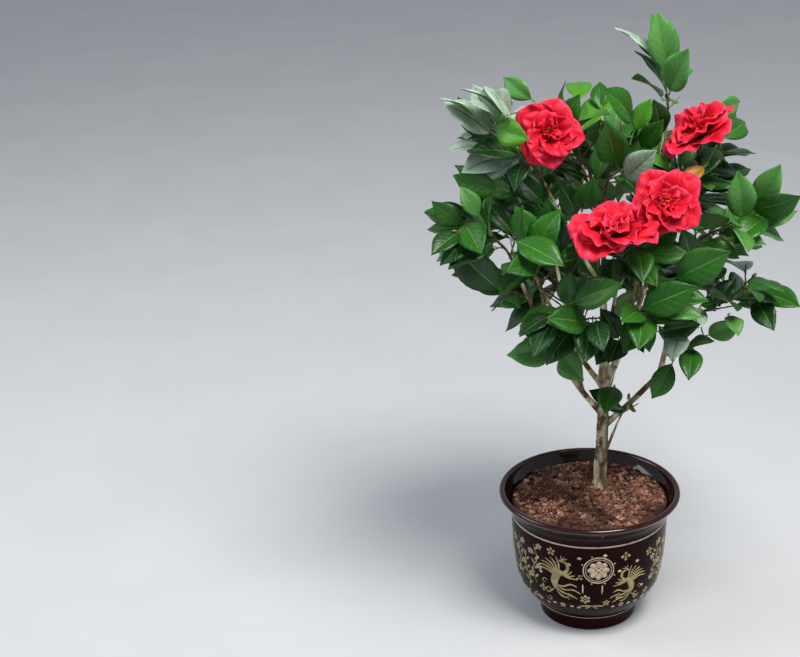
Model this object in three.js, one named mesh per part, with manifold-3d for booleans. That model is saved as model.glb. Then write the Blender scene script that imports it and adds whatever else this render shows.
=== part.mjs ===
// A potted camellia shrub, 0.74 m tall, in millimetres with +Z up.
// The origin is the centre of the pot's flat underside.
// +X is the viewer's right and +Y points away from the viewer, who stands at -Y.
import * as THREE from "three";
import Module from "manifold-3d";

const wasm = await Module();
wasm.setup();

// Pot and soil
const RIM_RADIUS = 108;
const RIM_HEIGHT = 159;
const CREST_RADIUS = 104.5;
const CREST_HEIGHT = 163;
const NECK_RADIUS = 93;
const NECK_HEIGHT = 133;
const BELLY = [
  [63.5, 20],
  [82.5, 45],
  [89.5, 75],
  [92.5, 112],
];
const FOOT_RADIUS = 58;
const FOOT_HEIGHT = 15;
const WALL = 6;
const FLOOR = 10;
const FLOOR_RADIUS = 50;
const SOIL_LEVEL = 150;
const INNER_HEIGHTS = [22, 45, 80, 120, SOIL_LEVEL];
const INNER_LIP_HEIGHT = 158;
const POT_SIDES = 36;
const GAP = 0.3; // between two pieces that rest on each other
const LIMB_GAP = 0.34; // the same round a limb, where flat sides cut the corner

// Trunk
const TRUNK_FOOT = [15.6, 21.1];
const TRUNK_TOP = [18.6, 22.2, 292];
const TRUNK_FOOT_RADIUS = 7.6;
const TRUNK_TOP_RADIUS = 6.2;
const ROOT_FLARE = 3.6;
const FLARE_HEIGHT = 12;
const ROOT_LOBES = 0.35; // share of the flare that three roots stand out by
const TRUNK_SIDES = 10;
const BOUGH_SIDES = 6;
const STEP_LENGTH = 32; // between two rings of corners along a bough

// Leaves and the twigs that carry them
const LEAF_LENGTH = 70;
const LEAF_SLIMNESS = 0.25; // half width over length
const LEAF_THICKNESS = 1.5;
const LEAF_ARCH = 0.06; // rise of the midrib over the length
const LEAF_FOLD = 0.2; // rise of the margin over the half width
const LEAF_SAG = -0.04; // how far a leaf turns down from its twig's lead
const STALK = 0.1; // share of the length that is bare stalk
const TWIG_RISE = 0.25; // how far a twig turns up from its stem's lead
const TWIG_RADIUS = 1.1;
const TWIG_TIP_RADIUS = 0.8;
const TWIG_SIDES = 3;
const STEM_LEAVES = 6;
const TWIG_LEAVES = 5;
const BLOOM_LEAVES = 2;
const FIRST_STEM_SHARE = 0.5; // where along it the first leaf stands
const FIRST_TWIG_SHARE = 0.4;
const LAST_SHARE = 0.985;
const LEFT_OUT = 4; // one leaf in this many has no solid
const LENGTH_TRIES = 5; // a twig or leading leaf with no room is shortened this often
const SHORTENING = 0.75;
const GOLDEN_TURN = 2.399963;
const BLOOM_SIDES = 14;
const BLOOM_RINGS = [
  { radius: 0, depth: -0.4, ruffle: 0 },
  { radius: 0.4, depth: -0.34, ruffle: 0 },
  { radius: 0.82, depth: -0.16, ruffle: 0.05 },
  { radius: 0.92, depth: 0.02, ruffle: 0.07 },
  { radius: 0.62, depth: 0.22, ruffle: 0.06 },
  { radius: 0.34, depth: 0.4, ruffle: 0.04 },
  { radius: 0, depth: 0.24, ruffle: 0 },
]; // shares of the bloom's radius, from its back to its heart
const CLEAR = 1.1; // kept between a leaf and anything it must not touch
const LIMB_BEADS = 4; // spacing of the beads that stand for a limb
const TWIG_BEADS = 5;

// Boughs: each grows from a share of the way along its parent to its own tip
const BOUGHS = [
  {
    name: "leader_bough", from: "trunk", share: 1,
    tip: [14, 20, 505], sag: 0.01, radii: [5.4, 1.9],
  },
  {
    name: "left_bough", from: "trunk", share: 0.7,
    tip: [-92, -18, 462], sag: 0.12, radii: [3.6, 1.7],
  },
  {
    name: "second_left_bough", from: "trunk", share: 0.94,
    tip: [-66, 82, 425], sag: 0.1, radii: [3.2, 1.7],
  },
  {
    name: "right_centre_bough", from: "trunk", share: 0.95,
    tip: [90, 5, 520], sag: 0.09, radii: [4.2, 1.7],
  },
  {
    name: "back_right_bough", from: "trunk", share: 0.8,
    tip: [74, 84, 446], sag: 0.08, radii: [2.8, 1.7],
  },
  {
    name: "right_bough", from: "trunk", share: 0.58,
    tip: [82, 5, 308], sag: 0.03, radii: [3.5, 2.8],
  },
  {
    name: "right_upper_bough", from: "right_bough", share: 1,
    tip: [105, -12, 455], sag: -0.06, radii: [2.7, 1.6],
  },
  {
    name: "front_bough", from: "leader_bough", share: 0.2,
    tip: [24, -42, 450], sag: 0.1, radii: [2.7, 1.7],
  },
  {
    name: "back_bough", from: "leader_bough", share: 0.3,
    tip: [15, 80, 455], sag: 0.08, radii: [2.6, 1.6],
  },
  {
    name: "upper_left_bough", from: "leader_bough", share: 0.55,
    tip: [-54, 8, 544], sag: 0.03, radii: [2.4, 1.6],
  },
  {
    name: "left_middle_bough", from: "left_bough", share: 0.25,
    tip: [-45, 28, 470], sag: -0.04, radii: [2.4, 1.5],
  },
  {
    name: "left_lower_bough", from: "left_bough", share: 0.55,
    tip: [-66, 18, 392], sag: 0.05, radii: [2.1, 1.4],
  },
  {
    name: "low_left_bough", from: "left_bough", share: 0.4,
    tip: [-34, -22, 345], sag: 0.05, radii: [1.9, 1.3],
  },
  {
    name: "low_back_left_bough", from: "second_left_bough", share: 0.4,
    tip: [-16, 72, 352], sag: 0.05, radii: [1.9, 1.3],
  },
  {
    name: "top_bough", from: "right_centre_bough", share: 0.7,
    tip: [82, 12, 606], sag: 0, radii: [2.1, 1.5],
  },
  {
    name: "centre_top_bough", from: "leader_bough", share: 0.85,
    tip: [-10, 20, 560], sag: 0.02, radii: [1.8, 1.3],
  },
  {
    name: "low_centre_bough", from: "leader_bough", share: 0.14,
    tip: [26, -14, 352], sag: 0.03, radii: [1.9, 1.3],
  },
  {
    name: "front_right_bough", from: "right_centre_bough", share: 0.3,
    tip: [48, -45, 395], sag: 0.06, radii: [2.1, 1.4],
  },
  {
    name: "low_back_right_bough", from: "back_right_bough", share: 0.4,
    tip: [58, 70, 352], sag: 0.05, radii: [1.9, 1.3],
  },
  {
    name: "front_low_bough", from: "front_bough", share: 0.5,
    tip: [-8, -52, 397], sag: 0.05, radii: [1.9, 1.3],
  },
  {
    name: "right_lower_bough", from: "right_upper_bough", share: 0.42,
    tip: [118, -12, 388], sag: 0.05, radii: [1.9, 1.3],
  },
  {
    name: "low_right_bough", from: "right_upper_bough", share: 0.15,
    tip: [92, -22, 340], sag: 0.02, radii: [1.7, 1.2],
  },
  {
    name: "left_front_bough", from: "left_bough", share: 0.62,
    tip: [-62, -46, 438], sag: 0.02, radii: [1.9, 1.3],
  },
  {
    name: "trunk_twig_bough", from: "trunk", share: 0.2,
    tip: [37, 11, 250], sag: -0.05, radii: [1.6, 1.1],
  },
];

// Blooms: where each sits, which way it looks and its radius
const BLOOMS = {
  left: { at: [-53, -35, 616], face: [-0.15, -0.9, 0.4], radius: 40 },
  right: { at: [106, -32, 611], face: [0.42, -0.42, 0.8], radius: 40 },
  middle: { at: [67, -95, 553], face: [0.1, -0.88, 0.46], radius: 42 },
  front: { at: [2, -108, 524], face: [-0.1, -0.62, 0.78], radius: 48 },
};

// Foliage: each mass grows from its bough's tip to its own tip, where its leading leaf points on to lead
const MASSES = [
  {
    name: "top_shoot", bough: "top_bough", tip: [76, 10, 664], lead: [64, 6, 732],
    reach: 92, twigs: 0, stemLeaves: 4, seed: 183,
  },
  {
    name: "upper_left_spray", bough: "upper_left_bough", tip: [-112, 5, 600], lead: [-165, 5, 642],
    reach: 96, twigs: 7, seed: 169, blooms: ["left"],
  },
  {
    name: "centre_top_shoot", bough: "centre_top_bough", tip: [-16, 14, 630], lead: [-18, -4, 674],
    reach: 64, twigs: 2, stemLeaves: 5, seed: 42,
  },
  {
    name: "upper_centre_spray", bough: "leader_bough", tip: [42, -4, 598], lead: [58, -22, 642],
    reach: 90, twigs: 8, seed: 258,
  },
  {
    name: "low_centre_spray", bough: "low_centre_bough", tip: [28, -50, 376], lead: [40, -104, 384],
    reach: 64, twigs: 5, seed: 310,
  },
  {
    name: "upper_right_spray", bough: "right_centre_bough", tip: [130, 15, 566], lead: [162, 10, 602],
    reach: 88, twigs: 7, seed: 127, blooms: ["right"],
  },
  {
    name: "right_spray", bough: "right_upper_bough", tip: [176, -15, 498], lead: [225, -15, 524],
    reach: 88, twigs: 6, seed: 269,
  },
  {
    name: "front_spray", bough: "front_bough", tip: [38, -78, 500], lead: [40, -130, 476],
    reach: 98, twigs: 4, seed: 166, blooms: ["middle", "front"],
  },
  {
    name: "left_middle_spray", bough: "left_middle_bough", tip: [-72, 60, 522], lead: [-106, 86, 568],
    reach: 80, twigs: 6, seed: 88,
  },
  {
    name: "left_spray", bough: "left_bough", tip: [-136, -20, 506], lead: [-181, -20, 534],
    reach: 86, twigs: 8, seed: 202,
  },
  {
    name: "left_lower_spray", bough: "left_lower_bough", tip: [-104, 10, 416], lead: [-154, -4, 456],
    reach: 76, twigs: 6, seed: 276,
  },
  {
    name: "left_front_spray", bough: "left_front_bough", tip: [-86, -66, 494], lead: [-42, -96, 480],
    reach: 78, twigs: 6, seed: 139,
  },
  {
    name: "low_left_spray", bough: "low_left_bough", tip: [-48, -40, 362], lead: [-100, -60, 365],
    reach: 66, twigs: 5, seed: 220,
  },
  {
    name: "front_lower_spray", bough: "front_low_bough", tip: [-32, -84, 432], lead: [17, -118, 468],
    reach: 80, twigs: 6, seed: 208,
  },
  {
    name: "front_right_spray", bough: "front_right_bough", tip: [44, -84, 424], lead: [96, -120, 464],
    reach: 84, twigs: 6, seed: 38,
  },
  {
    name: "right_lower_spray", bough: "right_lower_bough", tip: [180, -15, 412], lead: [233, -25, 398],
    reach: 84, twigs: 7, seed: 184,
  },
  {
    name: "low_right_spray", bough: "low_right_bough", tip: [98, -34, 352], lead: [112, -60, 318],
    reach: 66, twigs: 5, seed: 76,
  },
  {
    name: "back_left_spray", bough: "second_left_bough", tip: [-96, 108, 486], lead: [-138, 140, 520],
    reach: 95, twigs: 8, seed: 16,
  },
  {
    name: "back_spray", bough: "back_bough", tip: [6, 122, 552], lead: [4, 160, 606],
    reach: 95, twigs: 8, seed: 162,
  },
  {
    name: "back_right_spray", bough: "back_right_bough", tip: [118, 106, 500], lead: [164, 138, 534],
    reach: 95, twigs: 8, seed: 142,
  },
  {
    name: "low_back_left_spray", bough: "low_back_left_bough", tip: [-44, 118, 392], lead: [-80, 160, 410],
    reach: 80, twigs: 6, seed: 233,
  },
  {
    name: "low_back_right_spray", bough: "low_back_right_bough", tip: [88, 112, 396], lead: [124, 150, 414],
    reach: 80, twigs: 6, seed: 11,
  },
  {
    name: "trunk_shoot", bough: "trunk_twig_bough", tip: [40, 5, 263], lead: [9, -30, 283],
    reach: 62, twigs: 0, stemLeaves: 0, seed: 281,
  },
];
const CROWN_AXIS = [20, 10];

const UP = new THREE.Vector3(0, 0, 1);
const LIGHT = new THREE.Vector3(0, -0.4, 1); // where the leaves turn their faces

// Growth rule

// A fixed run of throws: the same seed always grows the same spray.
function makeDice(seed) {
  let state = seed;
  return (low, high) => {
    state = (state * 48271) % 2147483647;
    return low + ((high - low) * state) / 2147483647;
  };
}

// A gentle arc from foot to tip that leaves flatter than it arrives.
function arcBetween(foot, tip, sag) {
  const chord = tip.clone().sub(foot);
  const drop = -sag * chord.length();
  const first = foot.clone().addScaledVector(chord, 1 / 3).addScaledVector(UP, drop);
  const second = foot.clone().addScaledVector(chord, 2 / 3).addScaledVector(UP, drop);
  return new THREE.CubicBezierCurve3(foot, first, second, tip);
}

// A direction at right angles to the given one, turned about it.
function sideways(along, turn) {
  const across = new THREE.Vector3(0.31, 0.95, 0.05).cross(along).normalize();
  const over = along.clone().cross(across);
  return across.multiplyScalar(Math.cos(turn)).addScaledVector(over, Math.sin(turn));
}

// Round beads along a limb stand for it when a leaf looks for room.
function beadsAlong(curve, footRadius, tipRadius, spacing) {
  const steps = Math.max(2, Math.ceil(curve.getPoint(0).distanceTo(curve.getPoint(1)) / spacing));
  return Array.from({ length: steps + 1 }, (_, i) => ({
    at: curve.getPoint(i / steps),
    radius: THREE.MathUtils.lerp(footRadius, tipRadius, i / steps),
  }));
}

// Half the blade's width at a share of the leaf's length from its root.
function bladeHalfWidth(leaf, share) {
  if (share <= STALK || share >= 1) return 0;
  const along = (share - STALK) / (1 - STALK);
  return leaf.halfWidth * Math.sin(Math.PI * along ** 0.9) ** 0.8;
}

// The height of the blade over the straight line from root to tip.
function bladeHeight(leaf, share, aside) {
  return 4 * LEAF_ARCH * leaf.length * share * (1 - share) + LEAF_FOLD * Math.abs(aside);
}

function bladePoint(leaf, share, aside) {
  return leaf.root
    .clone()
    .addScaledVector(leaf.along, leaf.length * share)
    .addScaledVector(leaf.side, aside)
    .addScaledVector(leaf.normal, bladeHeight(leaf, share, aside));
}

// A few points over the blade, root to tip.
function bladeSamples(leaf) {
  const points = [];
  for (const share of [0.2, 0.35, 0.5, 0.65, 0.8, 1]) {
    const half = bladeHalfWidth(leaf, share);
    for (const aside of share === 1 ? [0] : [-half, 0, half]) points.push(bladePoint(leaf, share, aside));
  }
  return points;
}

// How far a point stands over the blade, or null where it is beside it.
function heightOver(leaf, point, margin) {
  const offset = point.clone().sub(leaf.root);
  const share = offset.dot(leaf.along) / leaf.length;
  if (share < 0.12 || share > 1 + margin / leaf.length) return null;
  const aside = offset.dot(leaf.side);
  if (Math.abs(aside) > bladeHalfWidth(leaf, Math.min(share, 0.97)) + margin) return null;
  return offset.dot(leaf.normal) - bladeHeight(leaf, share, aside);
}

// Two blades cross where the points of one lie on both sides of the other, or too near it.
function bladesMeet(one, other) {
  if (one.middle.distanceTo(other.middle) > (one.length + other.length) / 2) return false;
  for (const [blade, samples] of [[one, other.samples], [other, one.samples]]) {
    let above = false;
    let below = false;
    for (const point of samples) {
      const height = heightOver(blade, point, CLEAR);
      if (height === null) continue;
      if (Math.abs(height) < CLEAR) return true;
      if (height > 0) above = true;
      else below = true;
    }
    if (above && below) return true;
  }
  return false;
}

// The signed room between a point and the next mass's space, and the edge of its own reach.
function roomAt(mass, masses, point) {
  let room = mass.reach - point.distanceTo(mass.centre);
  const own = point.distanceToSquared(mass.centre);
  for (const other of masses) {
    if (other === mass) continue;
    const theirs = point.distanceToSquared(other.centre);
    room = Math.min(room, (theirs - own) / (2 * mass.centre.distanceTo(other.centre)));
  }
  return room;
}

// Whether a point lies inside a bloom, seen as a flattened ball.
function insideBloom(bloom, point, margin) {
  const offset = point.clone().sub(bloom.at);
  const depth = offset.dot(bloom.face);
  const aside = Math.sqrt(Math.max(0, offset.lengthSq() - depth ** 2));
  return (depth / (bloom.radius * 0.62 + margin)) ** 2 + (aside / (bloom.radius + margin)) ** 2 < 1;
}

function twigFits(twig, mass, world) {
  return beadsAlong(twig.curve, twig.footRadius, twig.tipRadius, TWIG_BEADS)
    .slice(1)
    .every((bead) => {
      const margin = bead.radius + CLEAR;
      if (roomAt(mass, world.masses, bead.at) <= margin) return false;
      if (world.limbBeads.some((limb) => limb.at.distanceTo(bead.at) <= limb.radius + margin)) return false;
      return !world.blooms.some((bloom) => bloom.mass !== mass.name && insideBloom(bloom, bead.at, margin));
    });
}

function leafFits(leaf, mass, world, spray) {
  for (const point of leaf.samples) {
    if (roomAt(mass, world.masses, point) < CLEAR) return false;
    if (world.blooms.some((bloom) => insideBloom(bloom, point, CLEAR))) return false;
  }
  for (const bead of world.limbBeads) {
    if (bead.at.distanceTo(leaf.middle) > leaf.length / 2 + bead.radius) continue;
    const height = heightOver(leaf, bead.at, bead.radius + CLEAR);
    if (height !== null && Math.abs(height) < bead.radius + CLEAR) return false;
  }
  for (const bead of spray.beads) {
    if (bead.at.distanceTo(leaf.root) < 9) continue;
    const height = heightOver(leaf, bead.at, bead.radius);
    if (height !== null && Math.abs(height) < bead.radius + 0.4) return false;
  }
  return !spray.leaves.some((other) => bladesMeet(leaf, other));
}

// One leaf: it leaves its twig sideways, hangs a little and turns its face to the light.
function makeLeaf(root, along, roll, length) {
  const outward = new THREE.Vector3(root.x - CROWN_AXIS[0], root.y - CROWN_AXIS[1], 0).normalize();
  const light = LIGHT.clone().addScaledVector(outward, 0.5);
  const normal = light.addScaledVector(along, -light.dot(along)).normalize();
  normal.applyAxisAngle(along, roll);
  const leaf = {
    root,
    along,
    normal,
    side: along.clone().cross(normal),
    length,
    halfWidth: length * LEAF_SLIMNESS,
  };
  leaf.middle = root.clone().addScaledVector(along, length / 2);
  leaf.samples = bladeSamples(leaf);
  return leaf;
}

// Leaves stand by turns round a twig, wide apart low down and close together at its tip.
function addLeaves(spray, mass, world, dice, twig, count, firstShare) {
  const phase = dice(0, 2 * Math.PI);
  for (let i = 0; i < count; i++) {
    const order = count > 1 ? i / (count - 1) : 1;
    const share = firstShare + (LAST_SHARE - firstShare) * order;
    const root = twig.curve.getPoint(share);
    const along = twig.curve.getTangent(share);
    const lean = dice(-0.2, 0.2);
    const roll = dice(-0.4, 0.4);
    const size = dice(0.8, 1.12);
    for (let turnTry = 0; turnTry < 9; turnTry++) {
      const turn = phase + i * GOLDEN_TURN + turnTry * 0.75;
      const spread = 1.15 - 0.65 * order + lean;
      const out = along.clone().multiplyScalar(Math.cos(spread));
      out.addScaledVector(sideways(along, turn), Math.sin(spread));
      out.addScaledVector(UP, LEAF_SAG).normalize();
      const leaf = makeLeaf(root, out, roll, LEAF_LENGTH * size * (turnTry > 3 ? 0.82 : 1));
      if (!leafFits(leaf, mass, world, spray)) continue;
      spray.leaves.push(leaf);
      break;
    }
  }
}

// A whole spray: a stem on from the bough's tip, twigs by turns along it, blooms and leaves.
function growSpray(mass, world) {
  const dice = makeDice(mass.seed);
  const reachOut = mass.tip.distanceTo(mass.root);
  const bend = mass.root.clone().addScaledVector(mass.heading, 0.45 * reachOut);
  const stem = {
    curve: new THREE.QuadraticBezierCurve3(mass.root, bend, mass.tip),
    footRadius: mass.stemRadius,
    tipRadius: TWIG_TIP_RADIUS,
  };
  const spray = { stem, twigs: [], leaves: [], blooms: [], beads: [] };
  for (const bloom of world.blooms.filter((one) => one.mass === mass.name)) {
    const from = stem.curve.getPoint(0.45);
    const back = bloom.at.clone().addScaledVector(bloom.face, -0.3 * bloom.radius);
    const under = bloom.at.clone().addScaledVector(bloom.face, -1.1 * bloom.radius);
    const curve = new THREE.QuadraticBezierCurve3(from, under, back);
    spray.twigs.push({ curve, footRadius: TWIG_RADIUS, tipRadius: TWIG_RADIUS, bare: true });
    spray.blooms.push(bloom);
  }
  for (let i = 0; i < mass.twigs; i++) {
    const share = 0.1 + (0.82 * (i + dice(0, 0.8))) / mass.twigs;
    const foot = stem.curve.getPoint(share);
    const along = stem.curve.getTangent(share);
    const spread = dice(0.7, 1.2);
    const out = along.clone().multiplyScalar(Math.cos(spread));
    out.addScaledVector(sideways(along, i * GOLDEN_TURN + dice(0, 1.2)), Math.sin(spread));
    out.addScaledVector(UP, TWIG_RISE).normalize();
    let length = mass.reach * dice(0.45, 0.75) * (1.1 - 0.5 * share);
    for (let cut = 0; cut < LENGTH_TRIES; cut++) {
      const tip = foot.clone().addScaledVector(out, length);
      const twig = {
        curve: new THREE.LineCurve3(foot, tip),
        footRadius: TWIG_RADIUS,
        tipRadius: TWIG_TIP_RADIUS,
      };
      if (twigFits(twig, mass, world)) {
        spray.twigs.push(twig);
        break;
      }
      length *= SHORTENING;
    }
  }
  for (const twig of [stem, ...spray.twigs]) {
    spray.beads.push(...beadsAlong(twig.curve, twig.footRadius, twig.tipRadius, TWIG_BEADS));
  }
  const leadAlong = mass.lead.clone().sub(mass.tip).normalize();
  let leadLength = mass.lead.distanceTo(mass.tip);
  for (let cut = 0; cut < LENGTH_TRIES; cut++) {
    const leaf = makeLeaf(stem.curve.getPoint(LAST_SHARE), leadAlong, 0, leadLength);
    if (leafFits(leaf, mass, world, spray)) {
      spray.leaves.push(leaf);
      break;
    }
    leadLength *= SHORTENING;
  }
  addLeaves(spray, mass, world, dice, stem, mass.stemLeaves ?? STEM_LEAVES, FIRST_STEM_SHARE);
  for (const twig of spray.twigs) {
    const before = spray.leaves.length;
    addLeaves(spray, mass, world, dice, twig, twig.bare ? BLOOM_LEAVES : TWIG_LEAVES, FIRST_TWIG_SHARE);
    twig.leafy = spray.leaves.length > before;
  }
  spray.twigs = spray.twigs.filter((twig) => twig.bare || twig.leafy);
  return spray;
}

// Every limb's curve, worked out from the table.
function planLimbs() {
  const foot = new THREE.Vector3(TRUNK_FOOT[0], TRUNK_FOOT[1], SOIL_LEVEL + GAP);
  const top = new THREE.Vector3(...TRUNK_TOP);
  const rise = (top.z - foot.z) / 3;
  const trunk = {
    name: "trunk",
    curve: new THREE.CubicBezierCurve3(
      foot,
      foot.clone().addScaledVector(UP, rise),
      top.clone().addScaledVector(UP, -rise),
      top,
    ),
    footRadius: TRUNK_FOOT_RADIUS,
    tipRadius: TRUNK_TOP_RADIUS,
  };
  const limbs = new Map([["trunk", trunk]]);
  for (const row of BOUGHS) {
    const parent = limbs.get(row.from);
    const start = parent.curve.getPoint(row.share);
    const curve = arcBetween(start, new THREE.Vector3(...row.tip), row.sag);
    limbs.set(row.name, { name: row.name, curve, footRadius: row.radii[0], tipRadius: row.radii[1] });
  }
  return limbs;
}

// Every mass's space and stem root, and what its leaves have to keep clear of.
function planWorld(limbs) {
  const masses = MASSES.map((row) => {
    const bough = limbs.get(row.bough);
    const heading = bough.curve.getTangent(1);
    const root = bough.curve.getPoint(1).addScaledVector(heading, GAP);
    const tip = new THREE.Vector3(...row.tip);
    const lead = new THREE.Vector3(...row.lead);
    const centre = root.clone().lerp(tip, 0.7);
    return { blooms: [], ...row, root, heading, tip, lead, centre, stemRadius: bough.tipRadius };
  });
  const blooms = masses.flatMap((mass) =>
    mass.blooms.map((key) => ({
      key,
      mass: mass.name,
      at: new THREE.Vector3(...BLOOMS[key].at),
      face: new THREE.Vector3(...BLOOMS[key].face).normalize(),
      radius: BLOOMS[key].radius,
    })),
  );
  const limbBeads = [...limbs.values()].flatMap((limb) =>
    beadsAlong(limb.curve, limb.footRadius, limb.tipRadius, LIMB_BEADS),
  );
  return { masses, blooms, limbBeads };
}

// Solids

function solidFrom(corners, faces) {
  return new wasm.Manifold(
    new wasm.Mesh({
      numProp: 3,
      vertProperties: new Float32Array(corners.flatMap((corner) => corner.toArray())),
      triVerts: new Uint32Array(faces),
    }),
  );
}

function geometryOf(solid) {
  const mesh = solid.getMesh();
  return new THREE.BufferGeometry()
    .setAttribute("position", new THREE.BufferAttribute(new Float32Array(mesh.vertProperties), 3))
    .setIndex(new THREE.BufferAttribute(new Uint32Array(mesh.triVerts), 1));
}

// The largest body of a solid: what a cut leaves loose is dropped.
function mainBody(solid) {
  return solid.decompose().reduce((best, body) => (body.volume() > best.volume() ? body : best));
}

// One closed tube along a curve, its corners set out ring by ring.
function tubeSolid(curve, radiusAt, sides, steps, grow = 0) {
  const corners = [];
  const faces = [];
  const across = sideways(curve.getTangent(0), 0);
  for (let i = 0; i <= steps; i++) {
    const share = i / steps;
    const along = curve.getTangent(share);
    const reach = i === 0 ? -grow : i === steps ? grow : 0;
    const centre = curve.getPoint(share).addScaledVector(along, reach);
    across.addScaledVector(along, -across.dot(along)).normalize();
    const over = along.clone().cross(across);
    for (let k = 0; k < sides; k++) {
      const turn = (2 * Math.PI * k) / sides;
      const radius = radiusAt(share, turn) + grow;
      const corner = centre.clone().addScaledVector(across, radius * Math.cos(turn));
      corners.push(corner.addScaledVector(over, radius * Math.sin(turn)));
    }
  }
  for (let i = 0; i < steps; i++) {
    for (let k = 0; k < sides; k++) {
      const a = i * sides + k;
      const b = i * sides + ((k + 1) % sides);
      faces.push(a, b, b + sides, a, b + sides, a + sides);
    }
  }
  const last = steps * sides;
  for (let k = 1; k < sides - 1; k++) faces.push(0, k + 1, k, last, last + k, last + k + 1);
  return solidFrom(corners, faces);
}

// The limb's radius: an even taper, and on the trunk a lobed flare at the foot.
function limbRadius(limb) {
  const height = limb.curve.getLength();
  return (share, turn) => {
    const taper = THREE.MathUtils.lerp(limb.footRadius, limb.tipRadius, share);
    if (limb.name !== "trunk") return taper;
    const flare = ROOT_FLARE * Math.exp((-share * height) / FLARE_HEIGHT);
    return taper + flare * (1 + ROOT_LOBES * Math.cos(3 * turn));
  };
}

function limbSolid(limb, grow = 0) {
  const sides = limb.name === "trunk" ? TRUNK_SIDES : BOUGH_SIDES;
  const spacing = limb.name === "trunk" ? STEP_LENGTH / 2 : STEP_LENGTH;
  const steps = Math.max(2, Math.round(limb.curve.getLength() / spacing));
  return tubeSolid(limb.curve, limbRadius(limb), sides, steps, grow);
}

// Each bough is cut clear of every limb that comes before it.
function cutLimbs(limbs) {
  const solids = new Map();
  const grown = [];
  for (const limb of limbs.values()) {
    let solid = limbSolid(limb);
    for (const earlier of grown) solid = solid.subtract(earlier);
    solids.set(limb.name, mainBody(solid));
    grown.push(limbSolid(limb, LIMB_GAP));
  }
  return solids;
}

// A thin blade of eight faces: a folded kite with a midrib on each side.
function bladeSolid({ root, along, side, normal, length, halfWidth, thickness, rise, fold }) {
  const at = (share, aside, height) => {
    const point = root.clone().addScaledVector(along, share * length);
    return point.addScaledVector(side, aside).addScaledVector(normal, height);
  };
  const corners = [
    at(0, 0, 0),
    at(0.5, halfWidth, rise + fold),
    at(1, 0, 0),
    at(0.5, -halfWidth, rise + fold),
    at(0.5, 0, rise + thickness / 2),
    at(0.5, 0, rise - thickness / 2),
  ];
  const faces = [];
  for (let k = 0; k < 4; k++) faces.push(k, (k + 1) % 4, 4, (k + 1) % 4, k, 5);
  return solidFrom(corners, faces);
}

function leafSolid(leaf) {
  return bladeSolid({
    ...leaf,
    thickness: LEAF_THICKNESS,
    rise: LEAF_ARCH * leaf.length,
    fold: LEAF_FOLD * leaf.halfWidth,
  });
}

// A bloom: rings of corners from its back over the ruffled rim into its cup, closed at both ends.
function bloomSolid(bloom) {
  const { at, face, radius } = bloom;
  const corners = [at.clone().addScaledVector(face, BLOOM_RINGS[0].depth * radius)];
  const faces = [];
  for (const [i, ring] of BLOOM_RINGS.slice(1, -1).entries()) {
    for (let k = 0; k < BLOOM_SIDES; k++) {
      const turn = (2 * Math.PI * k) / BLOOM_SIDES;
      const ruffle = ring.ruffle * (k % 2 ? 1 : -1);
      const corner = at.clone().addScaledVector(sideways(face, turn), (ring.radius + ruffle) * radius);
      corners.push(corner.addScaledVector(face, (ring.depth + ruffle) * radius));
      const next = (k + 1) % BLOOM_SIDES;
      const ringStart = 1 + i * BLOOM_SIDES;
      if (i === 0) faces.push(0, ringStart + next, ringStart + k);
      else {
        const below = ringStart - BLOOM_SIDES;
        faces.push(below + k, below + next, ringStart + next, below + k, ringStart + next, ringStart + k);
      }
    }
  }
  const last = corners.length - BLOOM_SIDES;
  corners.push(at.clone().addScaledVector(face, BLOOM_RINGS.at(-1).depth * radius));
  for (let k = 0; k < BLOOM_SIDES; k++) {
    faces.push(last + k, last + ((k + 1) % BLOOM_SIDES), corners.length - 1);
  }
  return solidFrom(corners, faces);
}

function twigSolid(twig, steps) {
  const radiusAt = (share) => THREE.MathUtils.lerp(twig.footRadius, twig.tipRadius, share);
  return tubeSolid(twig.curve, radiusAt, TWIG_SIDES, steps);
}

function spraySolid(spray) {
  const pieces = [twigSolid(spray.stem, 3)];
  for (const twig of spray.twigs) pieces.push(twigSolid(twig, twig.bare ? 3 : 1));
  for (const bloom of spray.blooms) pieces.push(bloomSolid(bloom));
  for (const [i, leaf] of spray.leaves.entries()) {
    if (i % LEFT_OUT !== LEFT_OUT - 1) pieces.push(leafSolid(leaf));
  }
  return mainBody(wasm.Manifold.union(pieces));
}

// The pot's outer line from its foot to its neck, and its lip.
function potOutline() {
  const foot = new THREE.Vector2(FOOT_RADIUS, FOOT_HEIGHT);
  const neck = new THREE.Vector2(NECK_RADIUS, NECK_HEIGHT);
  const between = BELLY.map(([radius, height]) => new THREE.Vector2(radius, height));
  const belly = new THREE.SplineCurve([foot, ...between, neck]).getPoints(8);
  const lip = new THREE.CubicBezierCurve(
    neck,
    new THREE.Vector2(NECK_RADIUS + 1, NECK_HEIGHT + 12),
    new THREE.Vector2(RIM_RADIUS - 5, RIM_HEIGHT - 7),
    new THREE.Vector2(RIM_RADIUS, RIM_HEIGHT),
  ).getPoints(4);
  return [...belly, ...lip.slice(1)];
}

// The pot's outer radius at a height, read off its outline.
function potRadiusAt(height) {
  const line = potOutline();
  const next = line.findIndex((point) => point.y >= height);
  const share = (height - line[next - 1].y) / (line[next].y - line[next - 1].y);
  return THREE.MathUtils.lerp(line[next - 1].x, line[next].x, share);
}

// The inner line from the floor up, a wall's thickness in from the outer one.
function innerOutline(heights, inset) {
  return heights.map((height) => new THREE.Vector2(potRadiusAt(height) - WALL - inset, height));
}

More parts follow.
